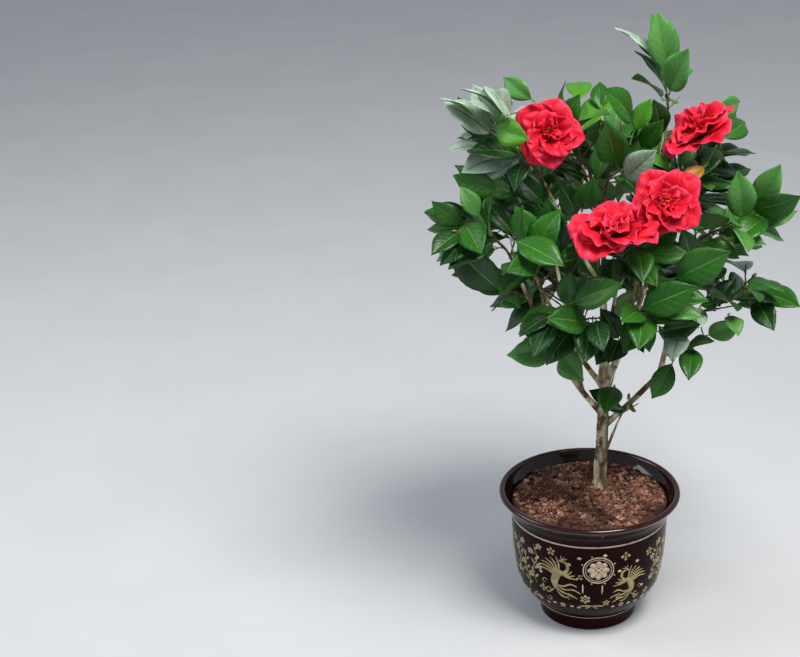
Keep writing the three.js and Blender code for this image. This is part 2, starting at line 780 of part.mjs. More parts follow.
function potGeometry() {
  return new THREE.LatheGeometry(
    [
      new THREE.Vector2(0, 0),
      new THREE.Vector2(FOOT_RADIUS, 0),
      ...potOutline(),
      new THREE.Vector2(CREST_RADIUS, CREST_HEIGHT),
      ...innerOutline([...INNER_HEIGHTS, INNER_LIP_HEIGHT], 0).reverse(),
      new THREE.Vector2(FLOOR_RADIUS, FLOOR),
      new THREE.Vector2(0, FLOOR),
    ],
    POT_SIDES,
  );
}

// The soil fills the pot to its level, flat on top and clear of the wall.
function soilGeometry() {
  return new THREE.LatheGeometry(
    [
      new THREE.Vector2(0, FLOOR + GAP),
      new THREE.Vector2(FLOOR_RADIUS - GAP, FLOOR + GAP),
      ...innerOutline(INNER_HEIGHTS, GAP),
      new THREE.Vector2(0, SOIL_LEVEL),
    ],
    POT_SIDES,
  );
}

// Materials
const glaze = new THREE.MeshStandardMaterial({ color: 0x1c0a0a, roughness: 0.12, metalness: 0 });
const earth = new THREE.MeshStandardMaterial({ color: 0x6e3e29, roughness: 1, metalness: 0 });
const bark = new THREE.MeshStandardMaterial({ color: 0x7d6b50, roughness: 0.85, metalness: 0 });
const foliage = new THREE.MeshStandardMaterial({ color: 0x1e4d22, roughness: 0.3, metalness: 0 });
const blossom = new THREE.MeshStandardMaterial({ color: 0xc41a26, roughness: 0.5, metalness: 0 });

// The shrub in its pot: +Z up, standing on the pot's foot
const shrub = new THREE.Group();

function addNode(name, geometry, material) {
  const mesh = new THREE.Mesh(geometry, material);
  mesh.name = name;
  shrub.add(mesh);
}

// A lathe turns about +Y, so the pot and its soil are stood up on +Z.
function stoodUp(geometry) {
  return geometry.rotateX(Math.PI / 2);
}

addNode("pot", stoodUp(potGeometry()), glaze);
addNode("soil", stoodUp(soilGeometry()), earth);

const limbs = planLimbs();
for (const [name, solid] of cutLimbs(limbs)) addNode(name, geometryOf(solid), bark);

const world = planWorld(limbs);
for (const mass of world.masses) {
  const spray = growSpray(mass, world);
  addNode(mass.name, geometryOf(spraySolid(spray)), mass.blooms.length ? blossom : foliage);
}

export default shrub;
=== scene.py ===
# %% [markdown]
# # A camellia in a glazed pot
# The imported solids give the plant's true sizes: the pot, the soil, the trunk, the boughs
# and the outline of every spray of leaves. Their surfaces are made here: glaze, painted
# ornament, crumbled soil, bark, veined leaves and ruffled red blooms.
# Everything is in metres in the same frame as the solids, so nothing has to be fitted.

import copy
import math

import bpy
import numpy as np
from mathutils import Matrix, Vector, noise


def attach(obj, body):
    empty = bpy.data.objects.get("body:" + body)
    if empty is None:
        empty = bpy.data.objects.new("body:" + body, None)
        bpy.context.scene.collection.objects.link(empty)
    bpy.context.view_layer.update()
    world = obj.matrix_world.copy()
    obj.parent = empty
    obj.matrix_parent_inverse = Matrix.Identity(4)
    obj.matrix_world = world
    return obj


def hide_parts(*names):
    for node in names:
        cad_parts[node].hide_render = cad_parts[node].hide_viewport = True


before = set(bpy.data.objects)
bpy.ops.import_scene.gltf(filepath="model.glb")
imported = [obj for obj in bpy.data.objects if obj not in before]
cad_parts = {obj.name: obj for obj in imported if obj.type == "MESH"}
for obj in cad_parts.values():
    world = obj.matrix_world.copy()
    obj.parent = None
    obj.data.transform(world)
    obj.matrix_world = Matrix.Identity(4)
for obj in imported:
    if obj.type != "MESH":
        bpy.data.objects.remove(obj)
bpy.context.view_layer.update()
MM = 0.001  # the growing rule counts in millimetres, as the solids' source does

# %% [markdown]
# ## Where the limbs and sprays stand
# A shrub is a tree of limbs. Each bough starts a share of the way along its parent and
# runs to its own tip, and each spray of leaves carries on from the tip of its bough.
# The rows are the ones that the solids were grown from. Growing the plant a second time
# from the same rows is better than reading points from the solids: the leaves then fall
# in the same places, and this time each can have its full shape.

# %% Name the limbs
SOIL_LEVEL = 150  # over the floor
GAP = 0.3  # between two parts that meet
TRUNK_FOOT = (15.6, 21.1)
TRUNK_TOP = (18.6, 22.2, 292)
TRUNK_RADII = (7.6, 6.2)

BOUGHS = [  # name, parent, share along it, tip, sag, radii at foot and tip
    ("leader_bough", "trunk", 1, (14, 20, 505), 0.01, (5.4, 1.9)),
    ("left_bough", "trunk", 0.7, (-92, -18, 462), 0.12, (3.6, 1.7)),
    ("second_left_bough", "trunk", 0.94, (-66, 82, 425), 0.1, (3.2, 1.7)),
    ("right_centre_bough", "trunk", 0.95, (90, 5, 520), 0.09, (4.2, 1.7)),
    ("back_right_bough", "trunk", 0.8, (74, 84, 446), 0.08, (2.8, 1.7)),
    ("right_bough", "trunk", 0.58, (82, 5, 308), 0.03, (3.5, 2.8)),
    ("right_upper_bough", "right_bough", 1, (105, -12, 455), -0.06, (2.7, 1.6)),
    ("front_bough", "leader_bough", 0.2, (24, -42, 450), 0.1, (2.7, 1.7)),
    ("back_bough", "leader_bough", 0.3, (15, 80, 455), 0.08, (2.6, 1.6)),
    ("upper_left_bough", "leader_bough", 0.55, (-54, 8, 544), 0.03, (2.4, 1.6)),
    ("left_middle_bough", "left_bough", 0.25, (-45, 28, 470), -0.04, (2.4, 1.5)),
    ("left_lower_bough", "left_bough", 0.55, (-66, 18, 392), 0.05, (2.1, 1.4)),
    ("low_left_bough", "left_bough", 0.4, (-34, -22, 345), 0.05, (1.9, 1.3)),
    ("low_back_left_bough", "second_left_bough", 0.4, (-16, 72, 352), 0.05, (1.9, 1.3)),
    ("top_bough", "right_centre_bough", 0.7, (82, 12, 606), 0, (2.1, 1.5)),
    ("centre_top_bough", "leader_bough", 0.85, (-10, 20, 560), 0.02, (1.8, 1.3)),
    ("low_centre_bough", "leader_bough", 0.14, (26, -14, 352), 0.03, (1.9, 1.3)),
    ("front_right_bough", "right_centre_bough", 0.3, (48, -45, 395), 0.06, (2.1, 1.4)),
    ("low_back_right_bough", "back_right_bough", 0.4, (58, 70, 352), 0.05, (1.9, 1.3)),
    ("front_low_bough", "front_bough", 0.5, (-8, -52, 397), 0.05, (1.9, 1.3)),
    ("right_lower_bough", "right_upper_bough", 0.42, (118, -12, 388), 0.05, (1.9, 1.3)),
    ("low_right_bough", "right_upper_bough", 0.15, (92, -22, 340), 0.02, (1.7, 1.2)),
    ("left_front_bough", "left_bough", 0.62, (-62, -46, 438), 0.02, (1.9, 1.3)),
    ("trunk_twig_bough", "trunk", 0.2, (37, 11, 250), -0.05, (1.6, 1.1)),
]
print(len(BOUGHS), "boughs on one trunk")

# %% [markdown]
# ## The blooms and the sprays
# Every bloom has a place, a way to look and a radius. Every spray of leaves has the tip
# of its stem, the tip of its leading leaf, its reach and a seed for its dice.

# %% Name the blooms and the sprays
BLOOMS = {  # place, the way it looks, radius
    "left": ((-53, -35, 616), (-0.15, -0.9, 0.4), 40),
    "right": ((106, -32, 611), (0.42, -0.42, 0.8), 40),
    "middle": ((67, -95, 553), (0.1, -0.88, 0.46), 42),
    "front": ((2, -108, 524), (-0.1, -0.62, 0.78), 48),
}
SPRAYS = [  # name, bough, stem's tip, leading leaf's tip, reach, twigs, stem leaves, seed, blooms
    ("top_shoot", "top_bough", (76, 10, 664), (64, 6, 732), 92, 0, 4, 183, ()),
    ("upper_left_spray", "upper_left_bough", (-112, 5, 600), (-165, 5, 642), 96, 7, 6, 169, ("left",)),
    ("centre_top_shoot", "centre_top_bough", (-16, 14, 630), (-18, -4, 674), 64, 2, 5, 42, ()),
    ("upper_centre_spray", "leader_bough", (42, -4, 598), (58, -22, 642), 90, 8, 6, 258, ()),
    ("low_centre_spray", "low_centre_bough", (28, -50, 376), (40, -104, 384), 64, 5, 6, 310, ()),
    ("upper_right_spray", "right_centre_bough", (130, 15, 566), (162, 10, 602), 88, 7, 6, 127, ("right",)),
    ("right_spray", "right_upper_bough", (176, -15, 498), (225, -15, 524), 88, 6, 6, 269, ()),
    ("front_spray", "front_bough", (38, -78, 500), (40, -130, 476), 98, 4, 6, 166, ("middle", "front")),
    ("left_middle_spray", "left_middle_bough", (-72, 60, 522), (-106, 86, 568), 80, 6, 6, 88, ()),
    ("left_spray", "left_bough", (-136, -20, 506), (-181, -20, 534), 86, 8, 6, 202, ()),
    ("left_lower_spray", "left_lower_bough", (-104, 10, 416), (-154, -4, 456), 76, 6, 6, 276, ()),
    ("left_front_spray", "left_front_bough", (-86, -66, 494), (-42, -96, 480), 78, 6, 6, 139, ()),
    ("low_left_spray", "low_left_bough", (-48, -40, 362), (-100, -60, 365), 66, 5, 6, 220, ()),
    ("front_lower_spray", "front_low_bough", (-32, -84, 432), (17, -118, 468), 80, 6, 6, 208, ()),
    ("front_right_spray", "front_right_bough", (44, -84, 424), (96, -120, 464), 84, 6, 6, 38, ()),
    ("right_lower_spray", "right_lower_bough", (180, -15, 412), (233, -25, 398), 84, 7, 6, 184, ()),
    ("low_right_spray", "low_right_bough", (98, -34, 352), (112, -60, 318), 66, 5, 6, 76, ()),
    ("back_left_spray", "second_left_bough", (-96, 108, 486), (-138, 140, 520), 95, 8, 6, 16, ()),
    ("back_spray", "back_bough", (6, 122, 552), (4, 160, 606), 95, 8, 6, 162, ()),
    ("back_right_spray", "back_right_bough", (118, 106, 500), (164, 138, 534), 95, 8, 6, 142, ()),
    ("low_back_left_spray", "low_back_left_bough", (-44, 118, 392), (-80, 160, 410), 80, 6, 6, 233, ()),
    ("low_back_right_spray", "low_back_right_bough", (88, 112, 396), (124, 150, 414), 80, 6, 6, 11, ()),
    ("trunk_shoot", "trunk_twig_bough", (40, 5, 263), (9, -30, 283), 62, 0, 0, 281, ()),
]
CROWN_AXIS = np.array((20.0, 10.0))
print(len(SPRAYS), "sprays and", len(BLOOMS), "blooms")

# %% [markdown]
# ## Curves and dice
# A limb is a Bezier curve: a few control points that the curve leans towards. Halving
# between neighbours again and again (De Casteljau's way) finds any point on it.
# The dice are a fixed run of throws, so that the same seed always grows the same spray.

# %% Curves and dice
UP = np.array((0.0, 0.0, 1.0))
ASKEW = (0.31, 0.95, 0.05)  # a direction in which nothing on the plant runs
DICE_FACTOR = 48271
DICE_PRIME = 2147483647
ANY_TURN = (0, 6.3)  # limits of a throw that may point any way round, in radians


def make_dice(seed):
    state = seed

    def throw(low, high):
        nonlocal state
        state = state * DICE_FACTOR % DICE_PRIME
        return low + (high - low) * state / DICE_PRIME

    return throw


def unit(vector):
    return vector / np.linalg.norm(vector)


def point_on(curve, share):
    while len(curve) > 1:
        curve = curve[:-1] * (1 - share) + curve[1:] * share
    return curve[0]


def heading_on(curve, share, step=1e-4):
    return unit(point_on(curve, min(1, share + step)) - point_on(curve, max(0, share - step)))


def turned_sideways(along, turn):
    """The direction square to along that lies at this turn round it."""
    across = unit(np.cross(ASKEW, along))
    over = np.cross(along, across)
    return across * math.cos(turn) + over * math.sin(turn)


def arc_between(foot, tip, sag):
    """A curve that sags by a share of its length between its ends."""
    chord = tip - foot
    drop = -sag * np.linalg.norm(chord) * UP
    return np.array((foot, foot + chord / 3 + drop, foot + chord * 2 / 3 + drop, tip))


trial_dice = make_dice(54321)
print("three throws of the dice:", [round(trial_dice(0, 1), 3) for _ in range(3)])

# %% [markdown]
# ## The limbs' curves
# The trunk rises from the soil, and every bough leaves its parent part way along it.

# %% Plan the limbs


def plan_limbs():
    foot = np.array((*TRUNK_FOOT, SOIL_LEVEL + GAP))
    top = np.array(TRUNK_TOP, float)
    rise = (top[2] - foot[2]) / 3 * UP
    planned = {"trunk": (np.array((foot, foot + rise, top - rise, top)), TRUNK_RADII)}
    for name, parent, share, tip, sag, radii in BOUGHS:
        start = point_on(planned[parent][0], share)
        planned[name] = (arc_between(start, np.array(tip, float), sag), radii)
    return planned


limbs = plan_limbs()
print("the trunk's top stands at", limbs["trunk"][0][-1], "mm")

# %% [markdown]
# ## A leaf's blade
# A camellia leaf is a long oval on a short stalk, arched along its midrib and folded a
# little like an open book. Two short formulas give its half width and its height at any
# place, so the same blade serves for testing where a leaf fits and for its mesh.

# %% Describe the blade
LEAF_LENGTH = 70
LEAF_SLIMNESS = 0.25
LEAF_ARCH = 0.06
LEAF_FOLD = 0.2
STALK = 0.1
SAMPLE_SHARES = np.repeat((0.2, 0.35, 0.5, 0.65, 0.8), 3)
SAMPLE_SIDES = np.tile((-1.0, 0.0, 1.0), 5)
LIGHT = np.array((0.0, -0.4, 1.0))


def half_width_at(leaf, share):
    """Nothing up to the end of the stalk, widest before the middle, and a point at the tip."""
    along = np.clip((share - STALK) / (1 - STALK), 0, 1)
    return leaf.half_width * np.maximum(np.sin(np.pi * along**0.9), 0) ** 0.8


def blade_height(leaf, share, aside):
    return 4 * LEAF_ARCH * leaf.length * share * (1 - share) + LEAF_FOLD * np.abs(aside)


def blade_points(leaf, share, aside, lift=0):
    forward = np.multiply.outer(share * leaf.length, leaf.along)
    sideways = np.multiply.outer(aside, leaf.side)
    upward = np.multiply.outer(blade_height(leaf, share, aside) + lift, leaf.normal)
    return leaf.root + forward + sideways + upward


class Leaf:
    """A leaf on its twig: it turns its face to the light."""

    def __init__(self, root, along, roll, length, light=None):
        outward = unit(np.append(root[:2] - CROWN_AXIS, 0))
        light = LIGHT + 0.5 * outward if light is None else light
        flat = unit(light - along * (light @ along))
        self.root = root
        self.along = along
        self.normal = flat * math.cos(roll) + np.cross(along, flat) * math.sin(roll)
        self.side = np.cross(along, self.normal)
        self.green_kind = None
        self.length = length
        self.half_width = length * LEAF_SLIMNESS
        self.middle = root + along * length / 2
        aside = half_width_at(self, SAMPLE_SHARES) * SAMPLE_SIDES
        self.samples = blade_points(self, np.append(SAMPLE_SHARES, 1), np.append(aside, 0))


trial = Leaf(np.zeros(3), np.array((0.0, -1.0, 0.0)), 0, LEAF_LENGTH)
print("a leaf is", LEAF_LENGTH, "mm long and", round(2 * half_width_at(trial, 0.5)), "mm wide")

# %% [markdown]
# ## Room for a leaf
# A crown looks real when its leaves share the light: none crosses another, a twig or a
# bloom, and each spray keeps to its own space. Limbs are seen as rows of round beads,
# blooms as flattened balls, and the border between two sprays as the plane half way
# between their centres. A leaf that finds no room is turned, or is left out.

# %% Measure the room
CLEAR = 1.1  # between a leaf or twig and all that it must not touch
LIMB_BEADS = 4  # from one bead to the next
TWIG_BEADS = 5
BLOOM_DEPTH = 0.62  # over its radius
BLADE_FROM = 0.12  # the shares of a leaf's length between which its blade counts
BLADE_TO = 0.97


def beads_along(curve, radii, spacing):
    span = np.linalg.norm(curve[-1] - curve[0])
    shares = np.linspace(0, 1, max(2, math.ceil(span / spacing)) + 1)
    return np.array([point_on(curve, s) for s in shares]), radii[0] + (radii[1] - radii[0]) * shares


def beads_of(limbs_or_twigs, spacing):
    rows = [beads_along(curve, radii, spacing) for curve, radii in limbs_or_twigs]
    return np.concatenate([at for at, radius in rows]), np.concatenate([radius for at, radius in rows])


def room_at(spray, points):
    """How far each point stays inside the spray's reach and its borders."""
    own = np.linalg.norm(points - spray.centre, axis=1)
    theirs = np.linalg.norm(points[:, None] - spray.others, axis=2)
    border = (theirs**2 - own[:, None] ** 2) / (2 * spray.other_distances)
    return np.minimum(spray.reach - own, border.min(1))


def inside_bloom(bloom, points, margin):
    offset = points - bloom.at
    depth = offset @ bloom.face
    aside = np.sqrt(np.maximum(0, (offset**2).sum(1) - depth**2))
    deep = depth / (bloom.radius * BLOOM_DEPTH + margin)
    return deep**2 + (aside / (bloom.radius + margin)) ** 2 < 1


def height_over(leaf, points, margin):
    """How far each point stands over the blade, and not-a-number where it is beside it."""
    offset = points - leaf.root
    share = offset @ leaf.along / leaf.length
    aside = offset @ leaf.side
    beside = (share < BLADE_FROM) | (share > 1 + margin / leaf.length)
    beside |= np.abs(aside) > half_width_at(leaf, np.minimum(share, BLADE_TO)) + margin
    return np.where(beside, np.nan, offset @ leaf.normal - blade_height(leaf, share, aside))


def blades_meet(one, other):
    if np.linalg.norm(one.middle - other.middle) > (one.length + other.length) / 2:
        return False
    for blade, samples in ((one, other.samples), (other, one.samples)):
        height = height_over(blade, samples, CLEAR)
        height = height[~np.isnan(height)]
        if (np.abs(height) < CLEAR).any() or ((height > 0).any() and (height <= 0).any()):
            return True
    return False


print("leaves keep", CLEAR, "mm from all they must not touch")

# %% [markdown]
# ## Whether it fits
# A new twig or leaf is held against everything that already grows near it. Testing it
# before it is added is quicker than sorting out crossings in the finished crown.

# %% Test a twig and a leaf
JOINT_ROOM = 9  # round a leaf's root, where its own twig doesn't count as in the way
TWIG_ROOM = 0.4


def twig_fits(curve, radii, spray, world):
    at, radius = (row[1:] for row in beads_along(curve, radii, TWIG_BEADS))  # not the foot's
    margin = radius + CLEAR
    if (room_at(spray, at) <= margin).any():
        return False
    gaps = np.linalg.norm(at[:, None] - world.limb_at, axis=2) - world.limb_radius
    if (gaps <= margin[:, None]).any():
        return False
    return not any(b.spray != spray.name and inside_bloom(b, at, margin).any() for b in world.blooms)


def leaf_fits(leaf, spray, world):
    if (room_at(spray, leaf.samples) < CLEAR).any():
        return False
    if any(inside_bloom(b, leaf.samples, CLEAR).any() for b in world.blooms):
        return False
    near = np.linalg.norm(world.limb_at - leaf.middle, axis=1) <= leaf.length / 2 + world.limb_radius
    radius = world.limb_radius[near]
    if (np.abs(height_over(leaf, world.limb_at[near], radius + CLEAR)) < radius + CLEAR).any():
        return False
    apart = np.linalg.norm(spray.bead_at - leaf.root, axis=1) >= JOINT_ROOM
    radius = spray.bead_radius[apart]
    if (np.abs(height_over(leaf, spray.bead_at[apart], radius)) < radius + TWIG_ROOM).any():
        return False
    return not any(blades_meet(leaf, other) for other in spray.leaves)


print("a leaf keeps", TWIG_ROOM, "mm from the twigs of its own spray")

# %% [markdown]
# ## Plan the sprays' spaces
# A spray's centre lies most of the way from its root to its tip. The planes between
# neighbouring centres share out the crown, so the sprays never mix.

# %% Plan the sprays
CENTRE_SHARE = 0.7  # of the way from a spray's root to its tip


class Spray:
    """A spray's place in the crown, and what grows on it."""

    def __init__(self, row):
        name, bough, tip, lead, reach, twigs, stem_leaves, seed, blooms = row
        curve, radii = limbs[bough]
        self.name = name
        self.heading = heading_on(curve, 1)
        self.root = point_on(curve, 1) + GAP * self.heading
        self.tip = np.array(tip, float)
        self.lead = np.array(lead, float)
        self.centre = self.root + CENTRE_SHARE * (self.tip - self.root)
        self.reach = reach
        self.twig_count = twigs
        self.stem_leaves = stem_leaves
        self.seed = seed
        self.stem_radius = radii[1]
        self.bloom_names = blooms
        self.twigs = []
        self.leaves = []


class Bloom:
    """A bloom's place, the way it looks and the spray that carries it."""

    def __init__(self, name, spray):
        at, face, radius = BLOOMS[name]
        self.name = name
        self.spray = spray
        self.at = np.array(at, float)
        self.face = unit(np.array(face))
        self.radius = radius


class World:
    """All sprays, blooms and limbs, which every leaf keeps clear of."""

    def __init__(self):
        self.sprays = [Spray(row) for row in SPRAYS]
        self.blooms = [Bloom(name, spray.name) for spray in self.sprays for name in spray.bloom_names]
        self.limb_at, self.limb_radius = beads_of(limbs.values(), LIMB_BEADS)
        for spray in self.sprays:
            spray.others = np.array([other.centre for other in self.sprays if other is not spray])
            spray.other_distances = np.linalg.norm(spray.others - spray.centre, axis=1)

    def say_grown(self):
        leaves = sum(len(twig.leaves) for spray in self.sprays for twig in spray.twigs)
        print(leaves, "leaves on", sum(len(spray.twigs) for spray in self.sprays), "twigs")


world = World()
print(len(world.limb_at), "beads stand for the limbs")

# %% [markdown]
# ## Grow the sprays
# The stem carries on from the bough. Twigs leave it by turns of the golden angle, which
# is how real shoots spread their leaves, and leaves stand the same way round each twig:
# wide apart low down, close together at the tip. Each throw of the dice comes in the same
# order as in the solids' source, so the leaves are the same leaves.

# %% Set leaves round a twig
GOLDEN_TURN = 2.399963  # in radians
LEAF_SAG = -0.04
LEAF_LEAN = (-0.2, 0.2)
LEAF_ROLL = (-0.4, 0.4)
LEAF_SIZES = (0.8, 1.12)
LOW_SPREAD = 1.15  # the angle between twig and leaf low down, and how far it closes to the tip
CLOSING = 0.65
TURN_TRIES = 9
TURN_STEP = 0.75
SMALL_TRIES = 5  # the last tries, which are made with a smaller leaf
SMALLER = 0.82
LAST_SHARE = 0.985  # of the way up a twig


class Twig:
    """A twig's curve, its radii at foot and tip, and the kind of shoot that it is."""

    def __init__(self, curve, radii, kind):
        self.curve = curve
        self.radii = radii
        self.kind = kind
        self.leaves = []


def add_leaves(spray, dice, twig, count, first_share, largest=1.0):
    """Each leaf tries some turns round the twig, and is left out where none fits."""
    phase = dice(0, 2 * math.pi)
    for i in range(count):
        order = i / (count - 1) if count > 1 else 1
        share = first_share + (LAST_SHARE - first_share) * order
        root = point_on(twig.curve, share)
        along = heading_on(twig.curve, share)
        spread = LOW_SPREAD - CLOSING * order + dice(*LEAF_LEAN)
        roll = dice(*LEAF_ROLL)
        size = dice(*LEAF_SIZES) * largest
        for turn_try in range(TURN_TRIES):
            turn = phase + i * GOLDEN_TURN + turn_try * TURN_STEP
            out = along * math.cos(spread) + turned_sideways(along, turn) * math.sin(spread)
            length = LEAF_LENGTH * size * (SMALLER if turn_try >= TURN_TRIES - SMALL_TRIES else 1)
            leaf = Leaf(root, unit(out + LEAF_SAG * UP), roll, length)
            if leaf_fits(leaf, spray, world):
                spray.leaves.append(leaf)
                twig.leaves.append(leaf)
                break


print("a leaf tries", TURN_TRIES, "turns round its twig")

# %% [markdown]
# ## Twigs round a stem
# A bloom's twig runs up to its back. The other twigs are tried at full length first and
# then shorter, until they fit.

# %% Set twigs round a stem
TWIG_RISE = 0.25
TWIG_RADIUS = 1.1
TWIG_TIP_RADIUS = 0.8
TWIG_SPREAD = (0.7, 1.2)  # the angle between stem and twig
TWIG_TURN = 1.2  # how far a twig may stray from its golden turn
TWIGS_FROM = 0.1  # where the first twig leaves the stem, and over how much of it they spread
TWIGS_OVER = 0.82
TWIG_LENGTHS = (0.45, 0.75)  # over the spray's reach
TWIG_SHIFT = 0.8  # how far a twig's foot may stray, over the space between two
LOW_TWIG = 1.1  # a twig low on the stem is longer, and one higher up is shorter
TWIG_LOSS = 0.5
BLOOM_TWIG_SHARE = 0.45
BLOOM_TWIG_BEND = 1.1  # how far behind the bloom's place its twig bends and ends, in radii
BLOOM_TWIG_END = 0.3
LENGTH_TRIES = 5
SHORTENING = 0.75


def side_heading(along, number, stray, dice):
    """The way a side shoot goes: out by its golden turn, and a little up."""
    spread = dice(*TWIG_SPREAD)
    side = turned_sideways(along, number * GOLDEN_TURN + dice(0, stray))
    return unit(along * math.cos(spread) + side * math.sin(spread) + TWIG_RISE * UP)


def add_bloom_twigs(spray, stem):
    for bloom in world.blooms:
        if bloom.spray == spray.name:
            under = bloom.at - BLOOM_TWIG_BEND * bloom.radius * bloom.face
            back = bloom.at - BLOOM_TWIG_END * bloom.radius * bloom.face
            curve = np.array((point_on(stem.curve, BLOOM_TWIG_SHARE), under, back))
            spray.twigs.append(Twig(curve, (TWIG_RADIUS, TWIG_RADIUS), "bloom"))


def add_twigs(spray, dice, stem):
    for i in range(spray.twig_count):
        share = TWIGS_FROM + TWIGS_OVER * (i + dice(0, TWIG_SHIFT)) / spray.twig_count
        foot = point_on(stem.curve, share)
        out = side_heading(heading_on(stem.curve, share), i, TWIG_TURN, dice)
        length = spray.reach * dice(*TWIG_LENGTHS) * (LOW_TWIG - TWIG_LOSS * share)
        for _ in range(LENGTH_TRIES):
            curve = np.array((foot, foot + length * out))
            if twig_fits(curve, (TWIG_RADIUS, TWIG_TIP_RADIUS), spray, world):
                spray.twigs.append(Twig(curve, (TWIG_RADIUS, TWIG_TIP_RADIUS), "twig"))
                break
            length *= SHORTENING


print("a twig tries", LENGTH_TRIES, "lengths")

# %% [markdown]
# ## A whole spray
# The stem comes first, then the twigs, the leading leaf that gives the spray its reach,
# and at last the leaves on the stem and on each twig.

# %% Grow the sprays
TWIG_LEAVES = 5
BLOOM_LEAVES = 2
FIRST_STEM_SHARE = 0.5
FIRST_TWIG_SHARE = 0.4
STEM_BEND = 0.45


def add_leading_leaf(spray, stem):
    along = unit(spray.lead - spray.tip)
    length = np.linalg.norm(spray.lead - spray.tip)
    for _ in range(LENGTH_TRIES):
        leaf = Leaf(point_on(stem.curve, LAST_SHARE), along, 0, length)
        if leaf_fits(leaf, spray, world):
            spray.leaves.append(leaf)
            stem.leaves.append(leaf)
            break
        length *= SHORTENING


def grow(spray):
    dice = make_dice(spray.seed)
    bend = spray.root + spray.heading * STEM_BEND * np.linalg.norm(spray.tip - spray.root)
    stem = Twig(np.array((spray.root, bend, spray.tip)), (spray.stem_radius, TWIG_TIP_RADIUS), "stem")
    add_bloom_twigs(spray, stem)
    add_twigs(spray, dice, stem)
    wood = [(twig.curve, twig.radii) for twig in (stem, *spray.twigs)]
    spray.bead_at, spray.bead_radius = beads_of(wood, TWIG_BEADS)
    add_leading_leaf(spray, stem)
    add_leaves(spray, dice, stem, spray.stem_leaves, FIRST_STEM_SHARE)
    for twig in spray.twigs:
        count = BLOOM_LEAVES if twig.kind == "bloom" else TWIG_LEAVES
        add_leaves(spray, dice, twig, count, FIRST_TWIG_SHARE)
    spray.twigs = [stem] + [twig for twig in spray.twigs if twig.leaves or twig.kind == "bloom"]


for spray in world.sprays:
    grow(spray)
world.say_grown()

# %% [markdown]
# ## Finer twigs
# The solids stop at the twigs that carry the outline. A real twig bears shorter side
# shoots with smaller leaves, so each twig gets a few by the same rule, where there is
# room for them inside the same reach.

# %% Grow the finer twigs
FINE_SEED = 7001
FINE_RADII = (0.8, 0.6)
FINE_COUNTS = {"stem": 2, "twig": 1}
FINE_LEAVES = 2
FINE_LEAF_SIZE = 0.7
FINE_LENGTHS = (14, 30)
FINE_FROM = 0.25
FINE_OVER = 0.65
FINE_TURN = 6.28
FINE_ROOM = 0.5


def twig_misses_leaves(curve, spray):
    at, radius = (row[2:] for row in beads_along(curve, FINE_RADII, TWIG_BEADS / 2))
    room = radius + FINE_ROOM
    return all(not (np.abs(height_over(leaf, at, radius)) < room).any() for leaf in spray.leaves)


def grow_finer(spray):
    dice = make_dice(FINE_SEED + spray.seed)
    for parent in [twig for twig in spray.twigs if twig.kind in FINE_COUNTS]:
        count = FINE_COUNTS[parent.kind]
        for i in range(count):
            share = FINE_FROM + FINE_OVER * (i + dice(0, 1)) / count
            foot = point_on(parent.curve, share)
            out = side_heading(heading_on(parent.curve, share), i, FINE_TURN, dice)
            curve = np.array((foot, foot + out * dice(*FINE_LENGTHS)))
            if twig_fits(curve, FINE_RADII, spray, world) and twig_misses_leaves(curve, spray):
                twig = Twig(curve, FINE_RADII, "fine")
                at, radius = beads_along(curve, FINE_RADII, TWIG_BEADS)
                spray.bead_at = np.concatenate((spray.bead_at, at))
                spray.bead_radius = np.concatenate((spray.bead_radius, radius))
                add_leaves(spray, dice, twig, FINE_LEAVES, FIRST_TWIG_SHARE, FINE_LEAF_SIZE)
                spray.twigs.append(twig)


for spray in world.sprays:
    grow_finer(spray)
world.say_grown()
